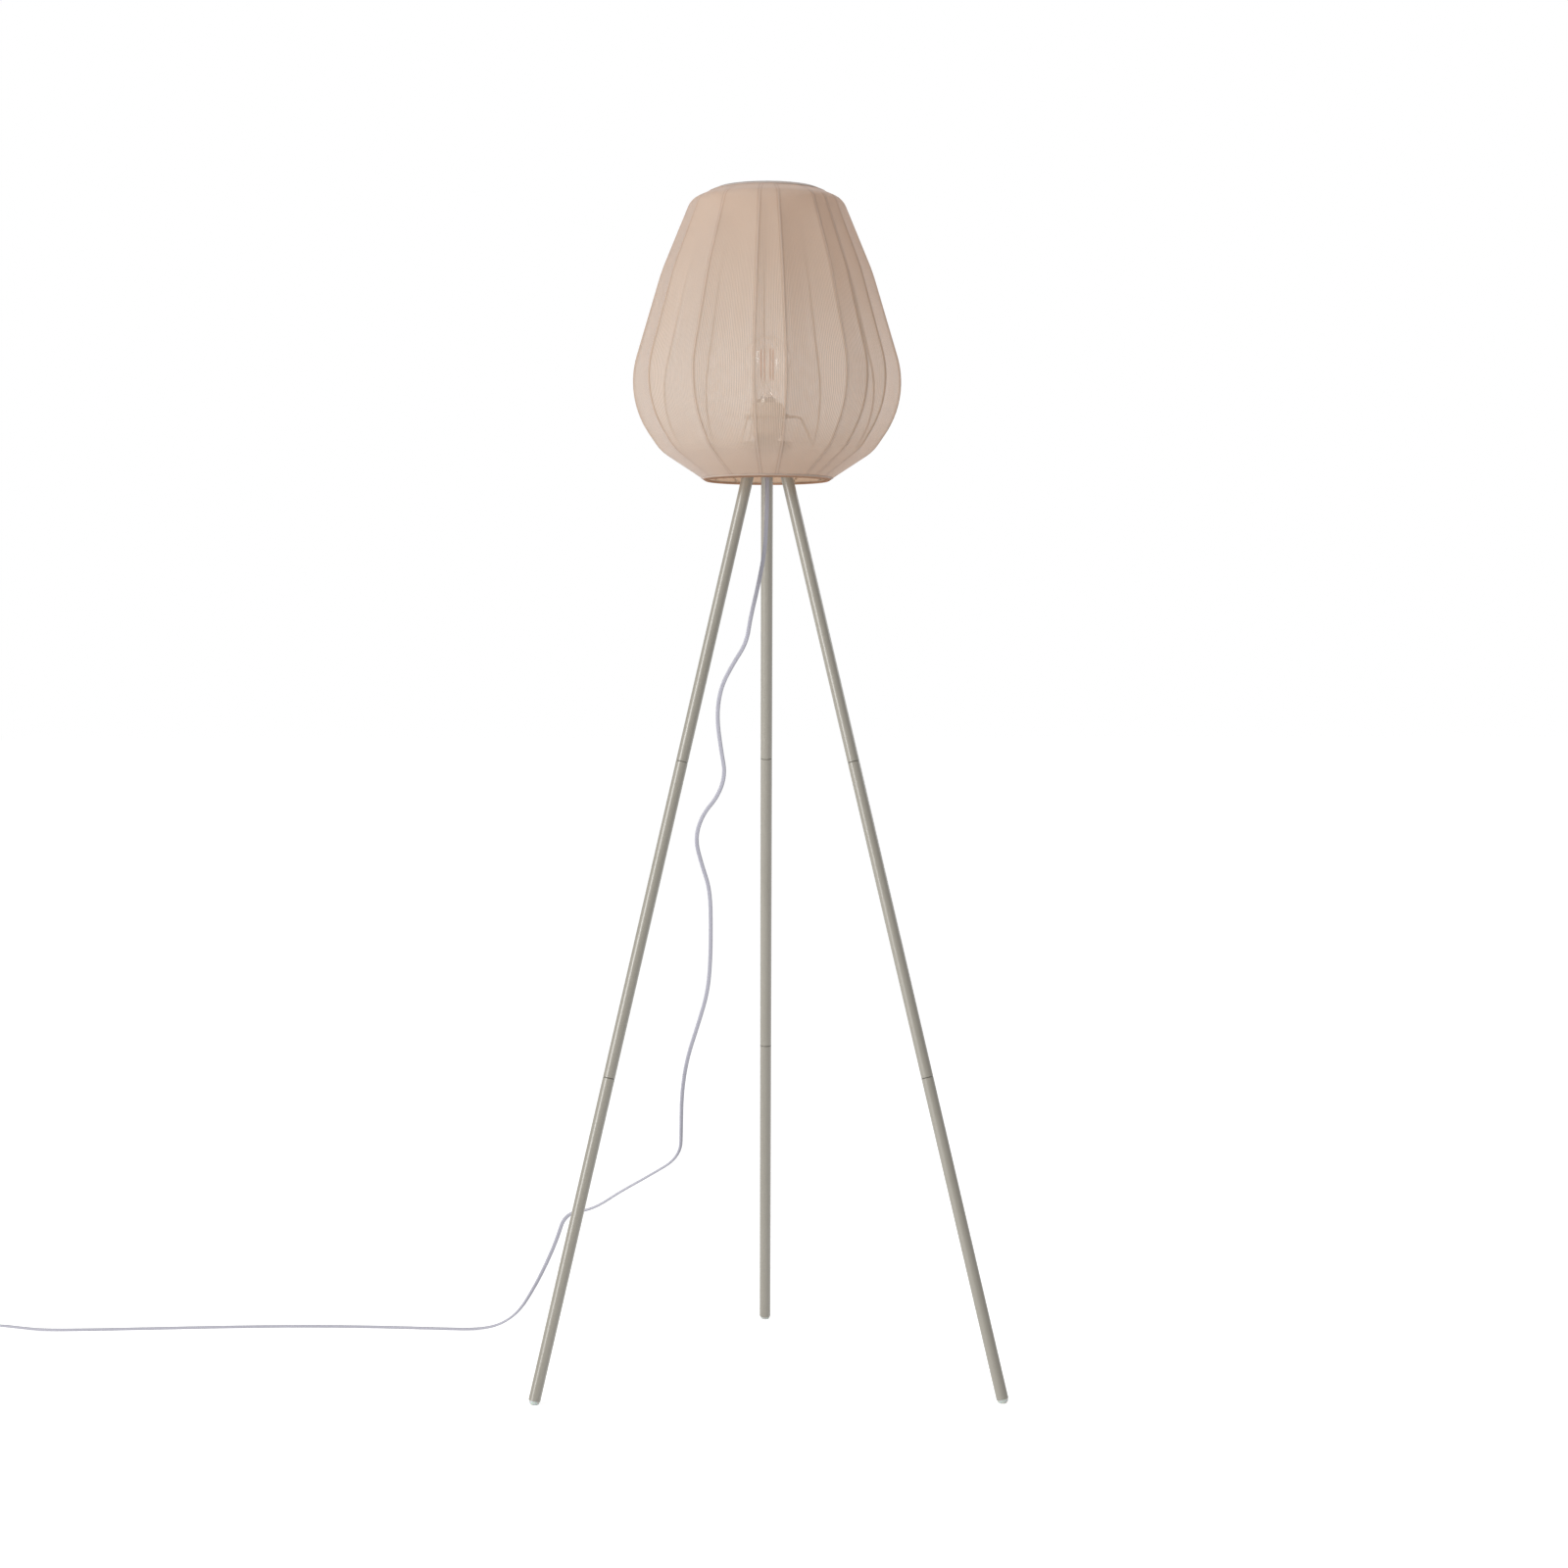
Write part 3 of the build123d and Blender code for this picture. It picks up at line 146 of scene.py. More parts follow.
class Finish:
    """A material under construction."""

    def __init__(self, name):
        self.material = bpy.data.materials.new(name)
        self.material.use_nodes = True
        self.tree = self.material.node_tree
        self.tree.nodes.clear()
        self.output = self.tree.nodes.new("ShaderNodeOutputMaterial")

    def add(self, kind, settings=None, values=None, out=0):
        node = self.tree.nodes.new(kind)
        for name, value in (settings or {}).items():
            setattr(node, name, value)
        for name, value in (values or {}).items():
            if isinstance(value, Socket):
                self.tree.links.new(value.link, node.inputs[name])
            elif value is not None:
                node.inputs[name].default_value = value
        return Socket(self, node.outputs[out])

    def place(self):
        return self.add("ShaderNodeTexCoord", out="Object")

    def uv(self, layer):
        return self.add("ShaderNodeUVMap", {"uv_map": layer})

    def split(self, vector):
        first = self.add("ShaderNodeSeparateXYZ", None, {0: vector})
        node = first.link.node
        return [Socket(self, output) for output in node.outputs]

    def from_axis(self):
        """The distance from the lamp's upright axis, and the height."""
        across, deep, high = self.split(self.place())
        return (across * across + (deep - LAMP_Y) * (deep - LAMP_Y)).math("SQRT"), high

    def noise(self, scale, detail, vector=None, stretch=None):
        vector = vector or self.place()
        if stretch:
            vector = self.add("ShaderNodeMapping", None, {"Vector": vector, "Scale": stretch})
        values = {"Vector": vector, "Scale": scale, "Detail": detail, "Roughness": 0.5}
        return self.add("ShaderNodeTexNoise", None, values)

    def mix(self, share, first, second):
        """A colour between two colours."""
        node = self.tree.nodes.new("ShaderNodeMix")
        node.data_type = "RGBA"
        for name, value in ((0, share), (6, first), (7, second)):
            if isinstance(value, Socket):
                self.tree.links.new(value.link, node.inputs[name])
            else:
                node.inputs[name].default_value = value
        return Socket(self, node.outputs[2])

    def bump(self, height, distance):
        return self.add("ShaderNodeBump", None, {"Height": height, "Distance": distance})

    def surface(self, **values):
        names = {name.replace("_", " "): value for name, value in values.items()}
        return self.add("ShaderNodeBsdfPrincipled", None, names)

    def done(self, shader):
        self.tree.links.new(shader.link, self.output.inputs["Surface"])
        return self.material


def colour(red, green, blue):
    """A colour as an artist reads it from a screen, 0 to 255, made linear."""
    linear = [((c / 255 + 0.055) / 1.055) ** 2.4 if c > 10 else c / 255 / 12.92 for c in (red, green, blue)]
    return (*linear, 1.0)


# Finishes
def powder_paint(name, angle=None):
    """Satin powder coat: a fine orange peel, a faint change of tone, and a shaded line at a leg's joints."""
    paint = Finish(name)
    peel = paint.noise(2200, 2)
    cloud = paint.noise(14, 3)
    tone = paint.mix(cloud, colour(147, 142, 130), colour(155, 150, 139))
    if angle is not None:
        turn, lean = math.radians(angle), math.radians(LEG_LEAN)
        foot = Vector((FOOT_CIRCLE * math.sin(turn), LAMP_Y - FOOT_CIRCLE * math.cos(turn), 0))
        up = Vector((-math.sin(turn) * math.sin(lean), math.cos(turn) * math.sin(lean), math.cos(lean)))
        x, y, z = paint.split(paint.place())
        along = x * up.x + y * up.y + z * up.z - foot.dot(up)
        for joint in LEG_JOINTS:
            near = (along - joint).math("ABSOLUTE").between(0.0003, 0.0009, 1.0, 0.0)
            tone = paint.mix(near * 0.75, tone, colour(78, 74, 64))
    return paint.done(paint.surface(
        Base_Color=tone, Roughness=cloud * 0.06 + 0.3, Specular_IOR_Level=0.7, Coat_Weight=0.6,
        Coat_Roughness=0.34, Normal=paint.bump(peel, 0.00001)))


def moulded(name, shade, rough, subsurface=0.0):
    """Moulded plastic: one even colour with a fine mould grain."""
    plastic = Finish(name)
    grain = plastic.noise(1800, 3)
    cloud = plastic.noise(30, 2)
    darker = [c * 0.93 for c in shade[:3]] + [1.0]
    tone = plastic.mix(cloud, shade, darker)
    return plastic.done(plastic.surface(
        Base_Color=tone, Roughness=cloud * 0.08 + rough, Subsurface_Weight=subsurface,
        Normal=plastic.bump(grain, 0.00003)))


def turned_metal(name, shade, rough):
    """Bare metal with fine marks from turning or drawing."""
    metal = Finish(name)
    marks = metal.noise(260, 4, stretch=(1, 1, 40))
    cloud = metal.noise(22, 2)
    darker = [c * 0.82 for c in shade[:3]] + [1.0]
    return metal.done(metal.surface(
        Base_Color=metal.mix(cloud, shade, darker), Metallic=1.0, Roughness=marks * 0.18 + rough,
        Normal=metal.bump(marks, 0.00002)))


def clear_glass():
    """The bulb's clear glass."""
    glass = Finish("clear_glass")
    ripple = glass.noise(60, 2)
    return glass.done(glass.surface(
        Base_Color=(1, 1, 1, 1), Roughness=0.02, IOR=1.46, Transmission_Weight=1.0,
        Normal=glass.bump(ripple, 0.00005)))


def filament_coat():
    """The pale orange phosphor on the bulb's light strips."""
    coat = Finish("filament_coat")
    speckle = coat.noise(1500, 2)
    return coat.done(coat.surface(
        Base_Color=coat.mix(speckle, colour(238, 176, 132), colour(228, 150, 106)), Roughness=0.55,
        Normal=coat.bump(speckle, 0.00004)))


def sheer_cloth():
    """Sheer ribbed cloth: fine upright threads that part where it is widest and lie closer elsewhere, a
    deeper, warmer tone where it narrows, partly for those closer threads and partly a painted glow from
    inside, and over each rib a painted highlight with painted shade either side.
    """
    cloth = Finish("sheer_cloth")
    around, _, _ = cloth.split(cloth.uv("threads"))
    from_rib, _, _ = cloth.split(cloth.uv("ribs"))
    radius, _ = cloth.from_axis()
    drift = cloth.noise(1.0, 2, vector=cloth.uv("threads"), stretch=(90, 7, 1))
    thread = ((around * THREADS_ROUND + drift * 1.5) * (2 * math.pi)).math("COSINE") * 0.5 + 0.5
    slub = cloth.noise(900, 2, vector=cloth.uv("threads"), stretch=(1.0, 0.02, 1.0))
    cloud = cloth.noise(9, 3)
    # Painted highlight on the crest of cloth over each rib and painted shade in a strip either side of it;
    # the crest strip also closes the cloth's gaps over the rib
    crest = from_rib.between(0.0003, 0.0010, 1.0, 0.0)
    rib_side_shade = from_rib.between(0.0010, 0.0016) * from_rib.between(0.0016, 0.0034, 1.0, 0.0)
    # Painted warm glow from inside, with the deeper tone of closer threads, where the cloth narrows towards
    # its rings
    narrow_glow_share = radius.between(0.08, 0.155, 1.0, 0.0)
    tone = cloth.mix(cloud, colour(215, 209, 200), colour(208, 200, 189))
    tone = cloth.mix(narrow_glow_share * 0.31, tone, colour(204, 170, 142))
    tone = cloth.mix(thread * 0.18 + slub * 0.06, tone, colour(186, 160, 136))
    # Painted shade beside each rib, then a painted highlight on its crest
    tone = cloth.mix(rib_side_shade * 0.42, tone, colour(160, 130, 106))
    tone = cloth.mix(crest * 0.35, tone, colour(226, 214, 202))
    stretched = radius.between(0.1, 0.165)
    gaps = stretched * (thread * 0.34 + slub * 0.06 + 0.13) + 0.02
    cover = (1 - gaps + crest * 0.2).math("MINIMUM", 0.985)
    relief = cloth.bump((1 - thread) * 0.6, 0.0001)
    front = cloth.surface(
        Base_Color=tone, Roughness=0.85, Specular_IOR_Level=0.12, Sheen_Weight=0.8, Sheen_Roughness=0.5,
        Sheen_Tint=(0.9, 0.93, 0.96, 1), Normal=relief)
    through = cloth.add("ShaderNodeBsdfTranslucent", None, {"Color": colour(220, 182, 149), "Normal": relief})
    woven = cloth.add("ShaderNodeMixShader", None, {0: 0.42, 1: front, 2: through})
    clear = cloth.add("ShaderNodeBsdfTransparent")
    return cloth.done(cloth.add("ShaderNodeMixShader", None, {0: cover, 1: clear, 2: woven}))


def hem_band():
    """The folded hem, two layers of the cloth; on the bottom hem the inside of the ring and the underside
    carry a painted, deeper and warmer shade.
    """
    band = Finish("hem_band")
    around, _, _ = band.split(band.uv("threads"))
    radius, high = band.from_axis()
    thread = (around * (THREADS_ROUND * 2 * math.pi)).math("COSINE") * 0.5 + 0.5
    cloud = band.noise(40, 3)
    # Mask for the bottom hem's inside and underside, where warm shade is painted
    inside = radius.between(BOTTOM_RING_RADIUS - 0.0012, BOTTOM_RING_RADIUS, 1.0, 0.0)
    inside = inside.math("MAXIMUM", high.between(BOTTOM_RING_Z - 0.0004, BOTTOM_RING_Z + 0.0012, 1.0, 0.0))
    inside = inside * high.between(BOTTOM_RING_Z + 0.05, BOTTOM_RING_Z + 0.06, 1.0, 0.0)
    tone = band.mix(cloud, colour(216, 206, 195), colour(208, 196, 183))
    tone = band.mix(thread * 0.16, tone, colour(188, 165, 143))
    relief = band.bump(1 - thread, 0.0001)
    front = band.surface(
        Base_Color=tone, Roughness=0.85, Specular_IOR_Level=0.12, Sheen_Weight=0.8, Sheen_Roughness=0.5,
        Sheen_Tint=(0.93, 0.93, 0.93, 1), Normal=relief)
    # Painted warm shade for the bottom hem's inside and underside, without sheen
    painted_inner_shade = band.mix(thread * 0.3, colour(210, 166, 134), colour(194, 148, 116))
    back = band.surface(Base_Color=painted_inner_shade, Roughness=0.9, Specular_IOR_Level=0.1, Normal=relief)
    front = band.add("ShaderNodeMixShader", None, {0: inside * 0.9, 1: front, 2: back})
    through = band.add("ShaderNodeBsdfTranslucent", None, {"Color": colour(226, 174, 132), "Normal": relief})
    return band.done(band.add("ShaderNodeMixShader", None, {0: 0.3, 1: front, 2: through}))


def cord_sheath():
    """Soft grey mains sheath with a slight sheen."""
    sheath = Finish("cord_sheath")
    scuff = sheath.noise(400, 3)
    cloud = sheath.noise(18, 2)
    tone = sheath.mix(cloud, colour(186, 185, 196), colour(176, 175, 186))
    return sheath.done(sheath.surface(
        Base_Color=tone, Roughness=scuff * 0.12 + 0.36, Specular_IOR_Level=0.5,
        Normal=sheath.bump(scuff, 0.00003)))


leg_paint = {side: powder_paint(f"leg_paint_{side}", angle) for side, angle in LEG_ANGLES.items()}
zinc = turned_metal("zinc_plate", colour(196, 196, 192), 0.28)
brass = turned_metal("contact_brass", colour(206, 172, 108), 0.25)
copper = turned_metal("wire_copper", colour(200, 130, 96), 0.3)
nickel = turned_metal("nickel_plate", colour(206, 202, 194), 0.2)
holder_white = moulded("holder_white", colour(226, 220, 210), 0.35)
core_white = moulded("core_white", colour(232, 228, 220), 0.25)
glide_clear = moulded("glide_pale", colour(214, 214, 208), 0.3, subsurface=0.3)
fitting_grey = moulded("fitting_grey", colour(190, 189, 200), 0.32)
button_grey = moulded("button_grey", colour(178, 177, 188), 0.3)
wire_paint = moulded("wire_paint", colour(214, 204, 190), 0.4)
glass = clear_glass()
coat = filament_coat()
cloth_finish = sheer_cloth()
hem_finish = hem_band()
sheath = cord_sheath()

dress(nodes["hub"], powder_paint("hub_paint"))
for side, finish in leg_paint.items():
    for height in ("lower", "middle", "upper"):
        dress(nodes[f"leg_{side}_{height}_tube"], finish)
FINISHES = {
    zinc: ("hub_studs", "tube_joint_studs", "tube_inserts", "nipple", "nipple_nut", "lock_washer",
           "holder_terminal_screws", "switch_screws", "switch_spring"),
    brass: ("socket_screw_shell", "socket_contact_tongue", "bulb_contact", "switch_contacts"),
    copper: ("holder_wires",),
    nickel: ("bulb_cap", "plug_pins"),
    holder_white: ("holder_cap", "holder_shell", "shade_ring_nut", "cord_grip"),
    core_white: ("holder_core", "bulb_insulator"),
    glide_clear: ("leg_left_glide", "leg_right_glide", "leg_back_glide"),
    fitting_grey: ("switch_base", "switch_cover", "switch_strain_reliefs", "plug_body", "plug_strain_relief"),
    button_grey: ("switch_button",),
    wire_paint: ("shade_ribs", "shade_bottom_ring", "shade_top_ring", "spider_plate", "spider_arms"),
    glass: ("bulb_glass", "bulb_stem"),
    coat: ("bulb_filaments",),
    sheath: ("inner_cord", "cord_tie"),
}
for finish, names in FINISHES.items():
    for name in names:
        dress(nodes[name], finish)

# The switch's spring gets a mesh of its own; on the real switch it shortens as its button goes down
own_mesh(nodes["switch_spring"])


# Shade
def rib_profile(step=0.006):
    """Points along a rib's centre line: radius, height, and the outward normal's radius and height."""
    corners = [Vector((BOTTOM_RING_RADIUS, 0))]
    corners += [Vector(corner) for corner in RIB_CORNERS]
    corners.append(Vector((TOP_RING_RADIUS, SHADE_HEIGHT)))
    line = []
    start = corners[0]
    for before, here, after, bend in zip(corners, corners[1:], corners[2:], RIB_BENDS):
        way_in, way_out = (here - before).normalized(), (after - here).normalized()
        turn = way_in.angle(way_out)
        reach = bend * math.tan(turn / 2)
        enter, leave = here - way_in * reach, here + way_out * reach
        straight = max(1, round((enter - start).length / step))
        line += [(start.lerp(enter, i / straight), way_in) for i in range(straight)]
        inward = Vector((-way_in.y, way_in.x))
        centre = enter + inward * bend
        parts = max(2, round(bend * turn / min(step, bend * 0.2)))
        for i in range(parts):
            angle = turn * i / parts
            spoke = -inward * math.cos(angle) + way_in * math.sin(angle)
            line.append((centre + spoke * bend, way_in * math.cos(angle) + inward * math.sin(angle)))
        start, last = leave, way_out
    straight = max(1, round((corners[-1] - start).length / step))
    line += [(start.lerp(corners[-1], i / straight), last) for i in range(straight + 1)]
    return [(point.x, point.y, way.y, -way.x) for point, way in line]


def gap_shares(gap, radius):
    """Where a panel's columns stand, from one rib (0) to the next (1)."""
    crest = CREST / max(radius * gap, 1e-6)
    shares = [0.0, crest * 0.5, crest]
    shares += [crest + (1 - 2 * crest) * i / PANEL_PARTS for i in range(1, PANEL_PARTS)]
    return shares + [1 - crest, 1 - crest * 0.5]


def cloth_grid(clear, rows):
    """The cloth's points for each row, with the share round and the distance from the nearest rib."""
    grid = []
    for radius, height, out, up in rows:
        ring = []
        near = min(height, SHADE_HEIGHT - height)
        flat = min(max(near / FADE, 0.0), 1.0) ** FADE_CURVE
        r = radius + out * clear
        z = BOTTOM_RING_Z + height + up * clear
        for first, second in zip(RIB_ANGLES, (*RIB_ANGLES[1:], RIB_ANGLES[0] + 360)):
            a, b = math.radians(first), math.radians(second)
            gap = b - a
            for share in gap_shares(gap, CREST_RADIUS):
                angle = a + gap * share
                chord = Vector((math.sin(a), -math.cos(a))) * (1 - share)
                chord += Vector((math.sin(b), -math.cos(b))) * share
                bow = 1 - BOW * gap * 4 * share * (1 - share)
                circle = Vector((math.sin(angle), -math.cos(angle)))
                place = circle.lerp(chord * bow, flat) * r
                away = min(share, 1 - share) * gap * r
                ring.append((Vector((place.x, LAMP_Y + place.y, z)), angle / (2 * math.pi), away))
        grid.append(ring)
    return grid


def wrap_cloth(name, clear, rows):
    """A closed band of cloth from its rows, with one UV map for threads and one for the ribs."""
    grid = cloth_grid(clear, rows)
    columns = len(grid[0])
    points = [place for ring in grid for place, _, _ in ring]
    faces = []
    for row in range(len(grid) - 1):
        for column in range(columns):
            beside = (column + 1) % columns
            low, high = row * columns, (row + 1) * columns
            faces.append((low + column, low + beside, high + beside, high + column))
    band = new_piece(name, points, faces)
    lengths = [0.0]
    for before, here in zip(rows, rows[1:]):
        lengths.append(lengths[-1] + math.hypot(here[0] - before[0], here[1] - before[1]))
    threads = band.data.uv_layers.new(name="threads")
    ribs = band.data.uv_layers.new(name="ribs")
    for polygon in band.data.polygons:
        wraps = {band.data.loops[i].vertex_index % columns for i in polygon.loop_indices}
        across = {0, columns - 1} <= wraps
        for i in polygon.loop_indices:
            row, column = divmod(band.data.loops[i].vertex_index, columns)
            _, share, away = grid[row][column]
            if across and column == 0:
                share += 1
            threads.data[i].uv = (share, lengths[row])
            ribs.data[i].uv = (away, lengths[row])
    return band


profile = rib_profile()
shade_cloth = wrap_cloth("shade_cloth", CLOTH_CLEAR, profile)
dress(shade_cloth, cloth_finish)
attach(shade_cloth, "shade")
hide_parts("shade_fabric")


# Hems: a folded strip over each edge of the cloth and round the ring's wire
def hem(name, node, ring_radius, ring_height, rows, below):
    """The hem's section runs down the cloth, round the outside of the ring and up behind it."""
    wire = RING_WIRE / 2 + HEM_THICKNESS
    section = [(r + out * HEM_CLEAR, h + up * HEM_CLEAR) for r, h, out, up in rows]
    way = -1 if below else 1
    for i in range(7):
        angle = math.radians(-10 + 30 * i)
        section.append((ring_radius + wire * math.cos(angle), ring_height + way * wire * math.sin(angle)))
    section.append((ring_radius - wire, ring_height - way * 0.4 * MM))
    points, faces = [], []
    for step in range(HEM_PARTS):
        angle = 2 * math.pi * step / HEM_PARTS
        for radius, height in section:
            across, deep = radius * math.sin(angle), LAMP_Y - radius * math.cos(angle)
            points.append((across, deep, BOTTOM_RING_Z + height))
    count = len(section)
    for step in range(HEM_PARTS):
        beside = (step + 1) % HEM_PARTS
        for i in range(count - 1):
            face = (step * count + i, beside * count + i, beside * count + i + 1, step * count + i + 1)
            faces.append(face if not below else face[::-1])
    strip = new_piece(name, points, faces)
    layer = strip.data.uv_layers.new(name="threads")
    for polygon in strip.data.polygons:
        for i in polygon.loop_indices:
            step, place = divmod(strip.data.loops[i].vertex_index, count)
            if step == 0 and polygon.index >= (HEM_PARTS - 1) * (count - 1):
                step = HEM_PARTS
            layer.data[i].uv = (step / HEM_PARTS, place * MM)
    deselect()
    strip.select_set(True)
    bpy.context.view_layer.objects.active = strip
    wall = strip.modifiers.new("wall", "SOLIDIFY")
    wall.thickness = HEM_THICKNESS
    wall.offset = 0.0
    bpy.ops.object.modifier_apply(modifier="wall")
    dress(strip, hem_finish)
    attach(strip, "shade")
    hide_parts(node)
    return strip


def rows_near(rows, height, width):
    """The profile's rows within a hem's width of an edge, from the far side to the edge."""
    low = height < SHADE_HEIGHT / 2
    ordered = rows if low else rows[::-1]
    kept, length = [ordered[0]], 0.0
    for before, here in zip(ordered, ordered[1:]):
        length += math.hypot(here[0] - before[0], here[1] - before[1])
        kept.append(here)
        if length >= width:
            break
    return kept[::-1]


bottom_hem = hem("bottom_hem_band", "shade_bottom_hem", BOTTOM_RING_RADIUS, 0.0,
                 rows_near(profile, 0.0, HEM_WIDTH), True)
top_hem = hem("top_hem_band", "shade_top_hem", TOP_RING_RADIUS, SHADE_HEIGHT,
              rows_near(profile, SHADE_HEIGHT, HEM_WIDTH), False)

# Cord: its route's points, as the solids have them, in metres
GRIP_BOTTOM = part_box("cord_grip")[0].z
CORD_WIDTH = 5.2 * MM
CORD_THICKNESS = 3.4 * MM
CORD_RUN = 0.031
SWITCH_RUN = 0.028
CORD_POINTS = (
    (-0.001, -0.0805, 1.075), (-0.003, -0.0775, 1.04), (-0.012, -0.0725, 0.995),
    (-0.021, -0.0685, 0.958), (-0.026, -0.0645, 0.926), (-0.044, -0.0605, 0.898),
    (-0.059, -0.0565, 0.869), (-0.064, -0.0505, 0.832), (-0.058, -0.0425, 0.787),
    (-0.053, -0.0365, 0.759), (-0.062, -0.0305, 0.731), (-0.083, -0.0245, 0.706),
    (-0.092, -0.0165, 0.675), (-0.084, -0.0085, 0.643), (-0.073, -0.0005, 0.609),
    (-0.072, 0.0095, 0.561), (-0.073, 0.0215, 0.509), (-0.077, 0.0315, 0.471),
    (-0.089, 0.0435, 0.43), (-0.104, 0.0575, 0.383), (-0.111, 0.0695, 0.337),
    (-0.112, 0.0815, 0.29), (-0.113, 0.0925, 0.248), (-0.158, 0.1015, 0.22),
    (-0.195, 0.1125, 0.198), (-0.229, 0.1235, 0.174), (-0.268, 0.1315, 0.167),
    (-0.28, 0.1395, 0.129), (-0.297, 0.1495, 0.09), (-0.313, 0.1575, 0.059),
    (-0.332, 0.165, 0.028), (-0.357, 0.171, 0.009), (-0.389, 0.1745, 0.0026),
    (-0.436, 0.18, 0.0026), (-0.496, 0.189, 0.0026), (-0.563, 0.196, 0.0026),
    (-0.634, 0.199, 0.0026), (-0.706, 0.197, 0.0026), (-0.778, 0.192, 0.0026),
    (-0.848, 0.186, 0.0026), (-0.914, 0.181, 0.0026), (-0.974, 0.1785, 0.0028),
    (-1.004, 0.1785, 0.0056),
)
SWITCH_CENTRE = (-1.109, 0.179)
SWITCH_HALF = 0.035
RELIEF_LENGTH = 0.014
SPLIT_Z = 0.009
COIL_PITCH = 5.8 * MM
COIL_RADIUS = 34.6 * MM
COIL_TURNS = 4.25
COIL_LEAD = 0.022
COIL_Z = 3.7 * MM
PLUG_Z = 6.85 * MM
POINTS_PER_TURN = 16
SQUARENESS = 0.8  # of the flat cord's corners: 1 is a plain oval
GROOVE_DEPTH = 0.16  # shares of the cord's thickness and width
GROOVE_WIDTH = 0.14
LEVEL_PULL = 0.2  # how soon the cord lies on its broad side where it is level
FRONT_PULL = 0.06  # how soon it shows its broad side where it hangs

switch_entry = Vector((SWITCH_CENTRE[0] + SWITCH_HALF + RELIEF_LENGTH, SWITCH_CENTRE[1], SPLIT_Z))
switch_exit = Vector((SWITCH_CENTRE[0] - SWITCH_HALF - RELIEF_LENGTH, SWITCH_CENTRE[1], SPLIT_Z))
coil_start = switch_exit + Vector((-COIL_LEAD - CORD_WIDTH, 0, COIL_Z - SPLIT_Z))
coil_centre = coil_start - Vector((0, COIL_RADIUS, 0))


def coil_point(turned):
    """The coil's middle line after this many turns: inwards on the floor, then outwards on top."""
    half = COIL_TURNS / 2
    inward = COIL_PITCH * (turned if turned < half else COIL_TURNS - turned)
    climb = min(max((turned - half) * 2 + 0.5, 0), 1)
    height = COIL_PITCH * climb * climb * (3 - 2 * climb)
    angle = math.pi / 2 + 2 * math.pi * turned
    radius = COIL_RADIUS - inward
    return coil_centre + Vector((radius * math.cos(angle), radius * math.sin(angle), height))


coil_end = coil_point(COIL_TURNS)
plug_entry = coil_end + Vector((0, -COIL_LEAD - CORD_WIDTH, PLUG_Z - coil_end.z))
route = [Vector((0, LAMP_Y, GRIP_BOTTOM)), Vector((0, LAMP_Y, GRIP_BOTTOM - CORD_RUN))]
route += [Vector(point) for point in CORD_POINTS]
route += [switch_entry + Vector((SWITCH_RUN, 0, 0)), switch_entry, switch_exit]
route.append(switch_exit + Vector((-CORD_WIDTH, 0, 0)))
route.append(switch_exit + Vector((-CORD_WIDTH - COIL_LEAD / 3, 0, (COIL_Z - SPLIT_Z) * 0.1)))
route.append(coil_start + Vector((COIL_LEAD / 3, 0, 0)))
marks = round(COIL_TURNS * POINTS_PER_TURN)
route += [coil_point(COIL_TURNS * mark / marks) for mark in range(marks + 1)]
route.append(coil_end + Vector((0, -COIL_LEAD / 3, 0)))
route.append(plug_entry + Vector((0, CORD_WIDTH + COIL_LEAD / 3, (coil_end.z - PLUG_Z) * 0.1)))
route.append(plug_entry + Vector((0, CORD_WIDTH, 0)))
route.append(plug_entry)


def smooth_line(points):
    """The points along one smooth curve that the route's points pull into place."""
    curve = bpy.data.curves.new("cord_line", "CURVE")
    curve.dimensions = "3D"
    spline = curve.splines.new("NURBS")
    spline.points.add(len(points) - 1)
    for place, point in zip(spline.points, points):
        place.co = (*point, 1.0)
    spline.order_u = 3
    spline.use_endpoint_u = True
    spline.resolution_u = 8
    holder = bpy.data.objects.new("cord_line", curve)
    bpy.context.scene.collection.objects.link(holder)
    bpy.context.view_layer.update()
    line = bpy.data.meshes.new_from_object(holder)
    found = [vertex.co.copy() for vertex in line.vertices]
    bpy.data.objects.remove(holder)
    bpy.data.meshes.remove(line)
    kept = [found[0]]
    for point in found[1:]:
        if (point - kept[-1]).length > 1e-6:
            kept.append(point)
    return kept


def twin_section(around=20):
    """Half width and half thickness round the flat cord, with a shallow groove between its two cores."""
    section = []
    for i in range(around):
        angle = 2 * math.pi * i / around
        x = CORD_WIDTH / 2 * math.copysign(abs(math.cos(angle)) ** SQUARENESS, math.cos(angle))
        groove = 1 - GROOVE_DEPTH * math.exp(-((x / (CORD_WIDTH * GROOVE_WIDTH)) ** 2))
        y = CORD_THICKNESS / 2 * math.copysign(abs(math.sin(angle)) ** SQUARENESS, math.sin(angle)) * groove
        section.append((x, y))
    return section


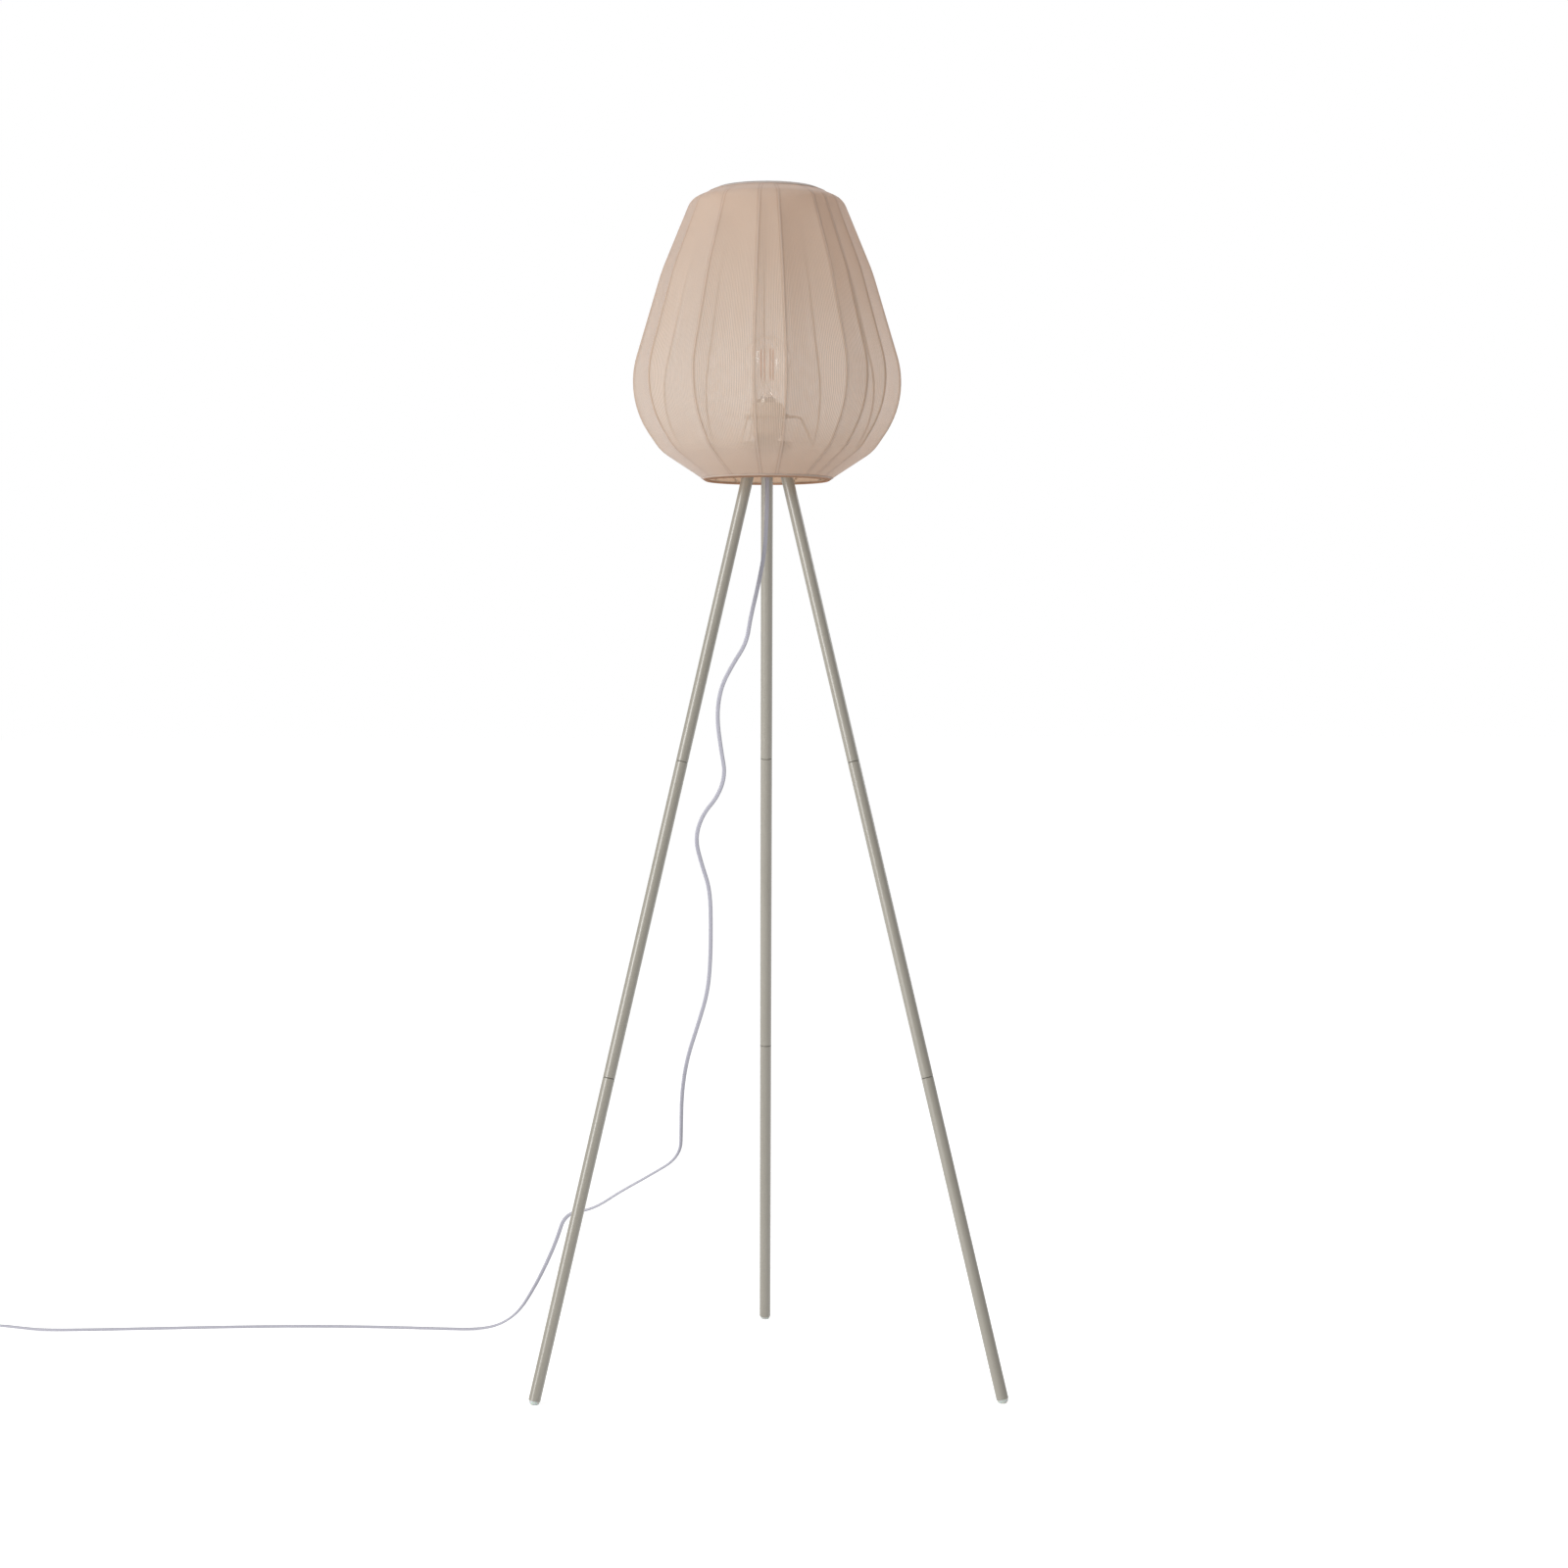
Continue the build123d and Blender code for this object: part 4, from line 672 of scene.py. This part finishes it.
def flat_cord(name, path):
    """A flat two-core cord along a path, broad side down where it lies and broad side on where it hangs."""
    ways = []
    for i in range(len(path)):
        ahead, behind = path[min(i + 1, len(path) - 1)], path[max(i - 1, 0)]
        ways.append((ahead - behind).normalized())
    up = Vector((0, 0, 1))
    ups = [None] * len(path)
    for i in reversed(range(len(path))):
        up = (up - ways[i] * up.dot(ways[i])).normalized()
        level = Vector((0, 0, 1)) - ways[i] * ways[i].z
        if level.length > 0.8:
            up = up.lerp(level.normalized(), LEVEL_PULL).normalized()
        elif abs(ways[i].z) > 0.6:
            front = Vector((0, -1 if up.y < 0 else 1, 0))
            up = up.lerp((front - ways[i] * front.dot(ways[i])).normalized(), FRONT_PULL).normalized()
        ups[i] = up.copy()
    section = twin_section()
    sink = (CORD_WIDTH - CORD_THICKNESS) / 2
    points, middles = [], []
    for place, way, top in zip(path, ways, ups):
        broad = way.cross(top).normalized()
        lower = place - Vector((0, 0, 1)) * sink * max(0.0, 1 - abs(way.z) * 2)
        middles.append(lower)
        points += [lower + broad * x + top * y for x, y in section]
    count = len(section)
    faces = []
    for row in range(len(path) - 1):
        for i in range(count):
            beside = (i + 1) % count
            low, high = row * count, (row + 1) * count
            faces.append((low + i, low + beside, high + beside, high + i))
    faces.append(tuple(range(count))[::-1])
    faces.append(tuple((len(path) - 1) * count + i for i in range(count)))
    piece = new_piece(name, points, faces)
    deselect()
    piece.select_set(True)
    bpy.context.view_layer.objects.active = piece
    bpy.ops.object.mode_set(mode="EDIT")
    bpy.ops.mesh.select_all(action="SELECT")
    bpy.ops.mesh.normals_make_consistent(inside=False)
    bpy.ops.object.mode_set(mode="OBJECT")
    return piece, middles


cord_path = smooth_line(route)
mains_cord, cord_middles = flat_cord("mains_cord", cord_path)
dress(mains_cord, sheath)
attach(mains_cord, "stand")
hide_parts("cord", "cord_coil")
cord_length = sum((b - a).length for a, b in zip(cord_middles, cord_middles[1:]))


# Floor, light and camera
def pale_floor():
    """A white floor that meets the white background and keeps the lamp's shadow."""
    floor = Finish("pale_floor")
    cloud = floor.noise(3, 2)
    tone = floor.mix(cloud, (0.93, 0.93, 0.93, 1), (0.91, 0.91, 0.91, 1))
    matt = floor.surface(Base_Color=tone, Roughness=0.9, Specular_IOR_Level=0.1)
    rays = floor.add("ShaderNodeLightPath")
    glossy = Socket(floor, rays.link.node.outputs["Is Glossy Ray"])
    seen_through = Socket(floor, rays.link.node.outputs["Is Transmission Ray"])
    seen = (rays + glossy + seen_through).math("MINIMUM", 1.0)
    glow = floor.add("ShaderNodeEmission", None, {"Color": (1, 1, 1, 1), "Strength": seen * 0.56})
    return floor.done(floor.add("ShaderNodeAddShader", None, {0: matt, 1: glow}))


bpy.ops.mesh.primitive_plane_add(size=60, location=(0, 10, -0.0002))
floor = bpy.context.active_object
floor.name = "floor"
dress(floor, pale_floor())

scene = bpy.context.scene
world = bpy.data.worlds.new("studio")
world.use_nodes = True
scene.world = world
sky = world.node_tree
backdrop = sky.nodes["Background"]
WORLD_LIGHT = 0.5
WORLD_SEEN = 1.0
rays = sky.nodes.new("ShaderNodeLightPath")
seen = sky.nodes.new("ShaderNodeMath")
seen.operation = "MAXIMUM"
sky.links.new(rays.outputs["Is Camera Ray"], seen.inputs[0])
sky.links.new(rays.outputs["Is Transmission Ray"], seen.inputs[1])
strength = sky.nodes.new("ShaderNodeMapRange")
strength.inputs["To Min"].default_value = WORLD_LIGHT
strength.inputs["To Max"].default_value = WORLD_SEEN
sky.links.new(seen.outputs[0], strength.inputs["Value"])
sky.links.new(strength.outputs[0], backdrop.inputs["Strength"])
backdrop.inputs["Color"].default_value = (1, 1, 1, 1)


def soft_light(name, place, aim, width, height, power):
    """An upright soft light that points at a place."""
    lamp = bpy.data.lights.new(name, "AREA")
    lamp.shape = "RECTANGLE"
    lamp.size = width
    lamp.size_y = height
    lamp.energy = power
    holder = bpy.data.objects.new(name, lamp)
    holder.location = place
    holder.rotation_euler = (Vector(aim) - Vector(place)).to_track_quat("-Z", "Y").to_euler()
    scene.collection.objects.link(holder)
    return holder


soft_light("key_light", (-2.6, -2.2, 1.9), (0, 0, 0.9), 0.9, 3.2, 92)
soft_light("rim_light", (2.8, 1.6, 1.8), (0, 0, 0.9), 1.4, 1.4, 14)

camera_data = bpy.data.cameras.new("camera")
camera_data.lens = 70
camera_data.sensor_width = 36
camera = bpy.data.objects.new("camera", camera_data)
camera.location = (-0.0379, LAMP_Y - 3.8413, 0.8821)
camera.rotation_euler = (math.radians(88.0), 0, -math.radians(0.88))
scene.collection.objects.link(camera)
scene.camera = camera
scene.view_settings.view_transform = "Standard"
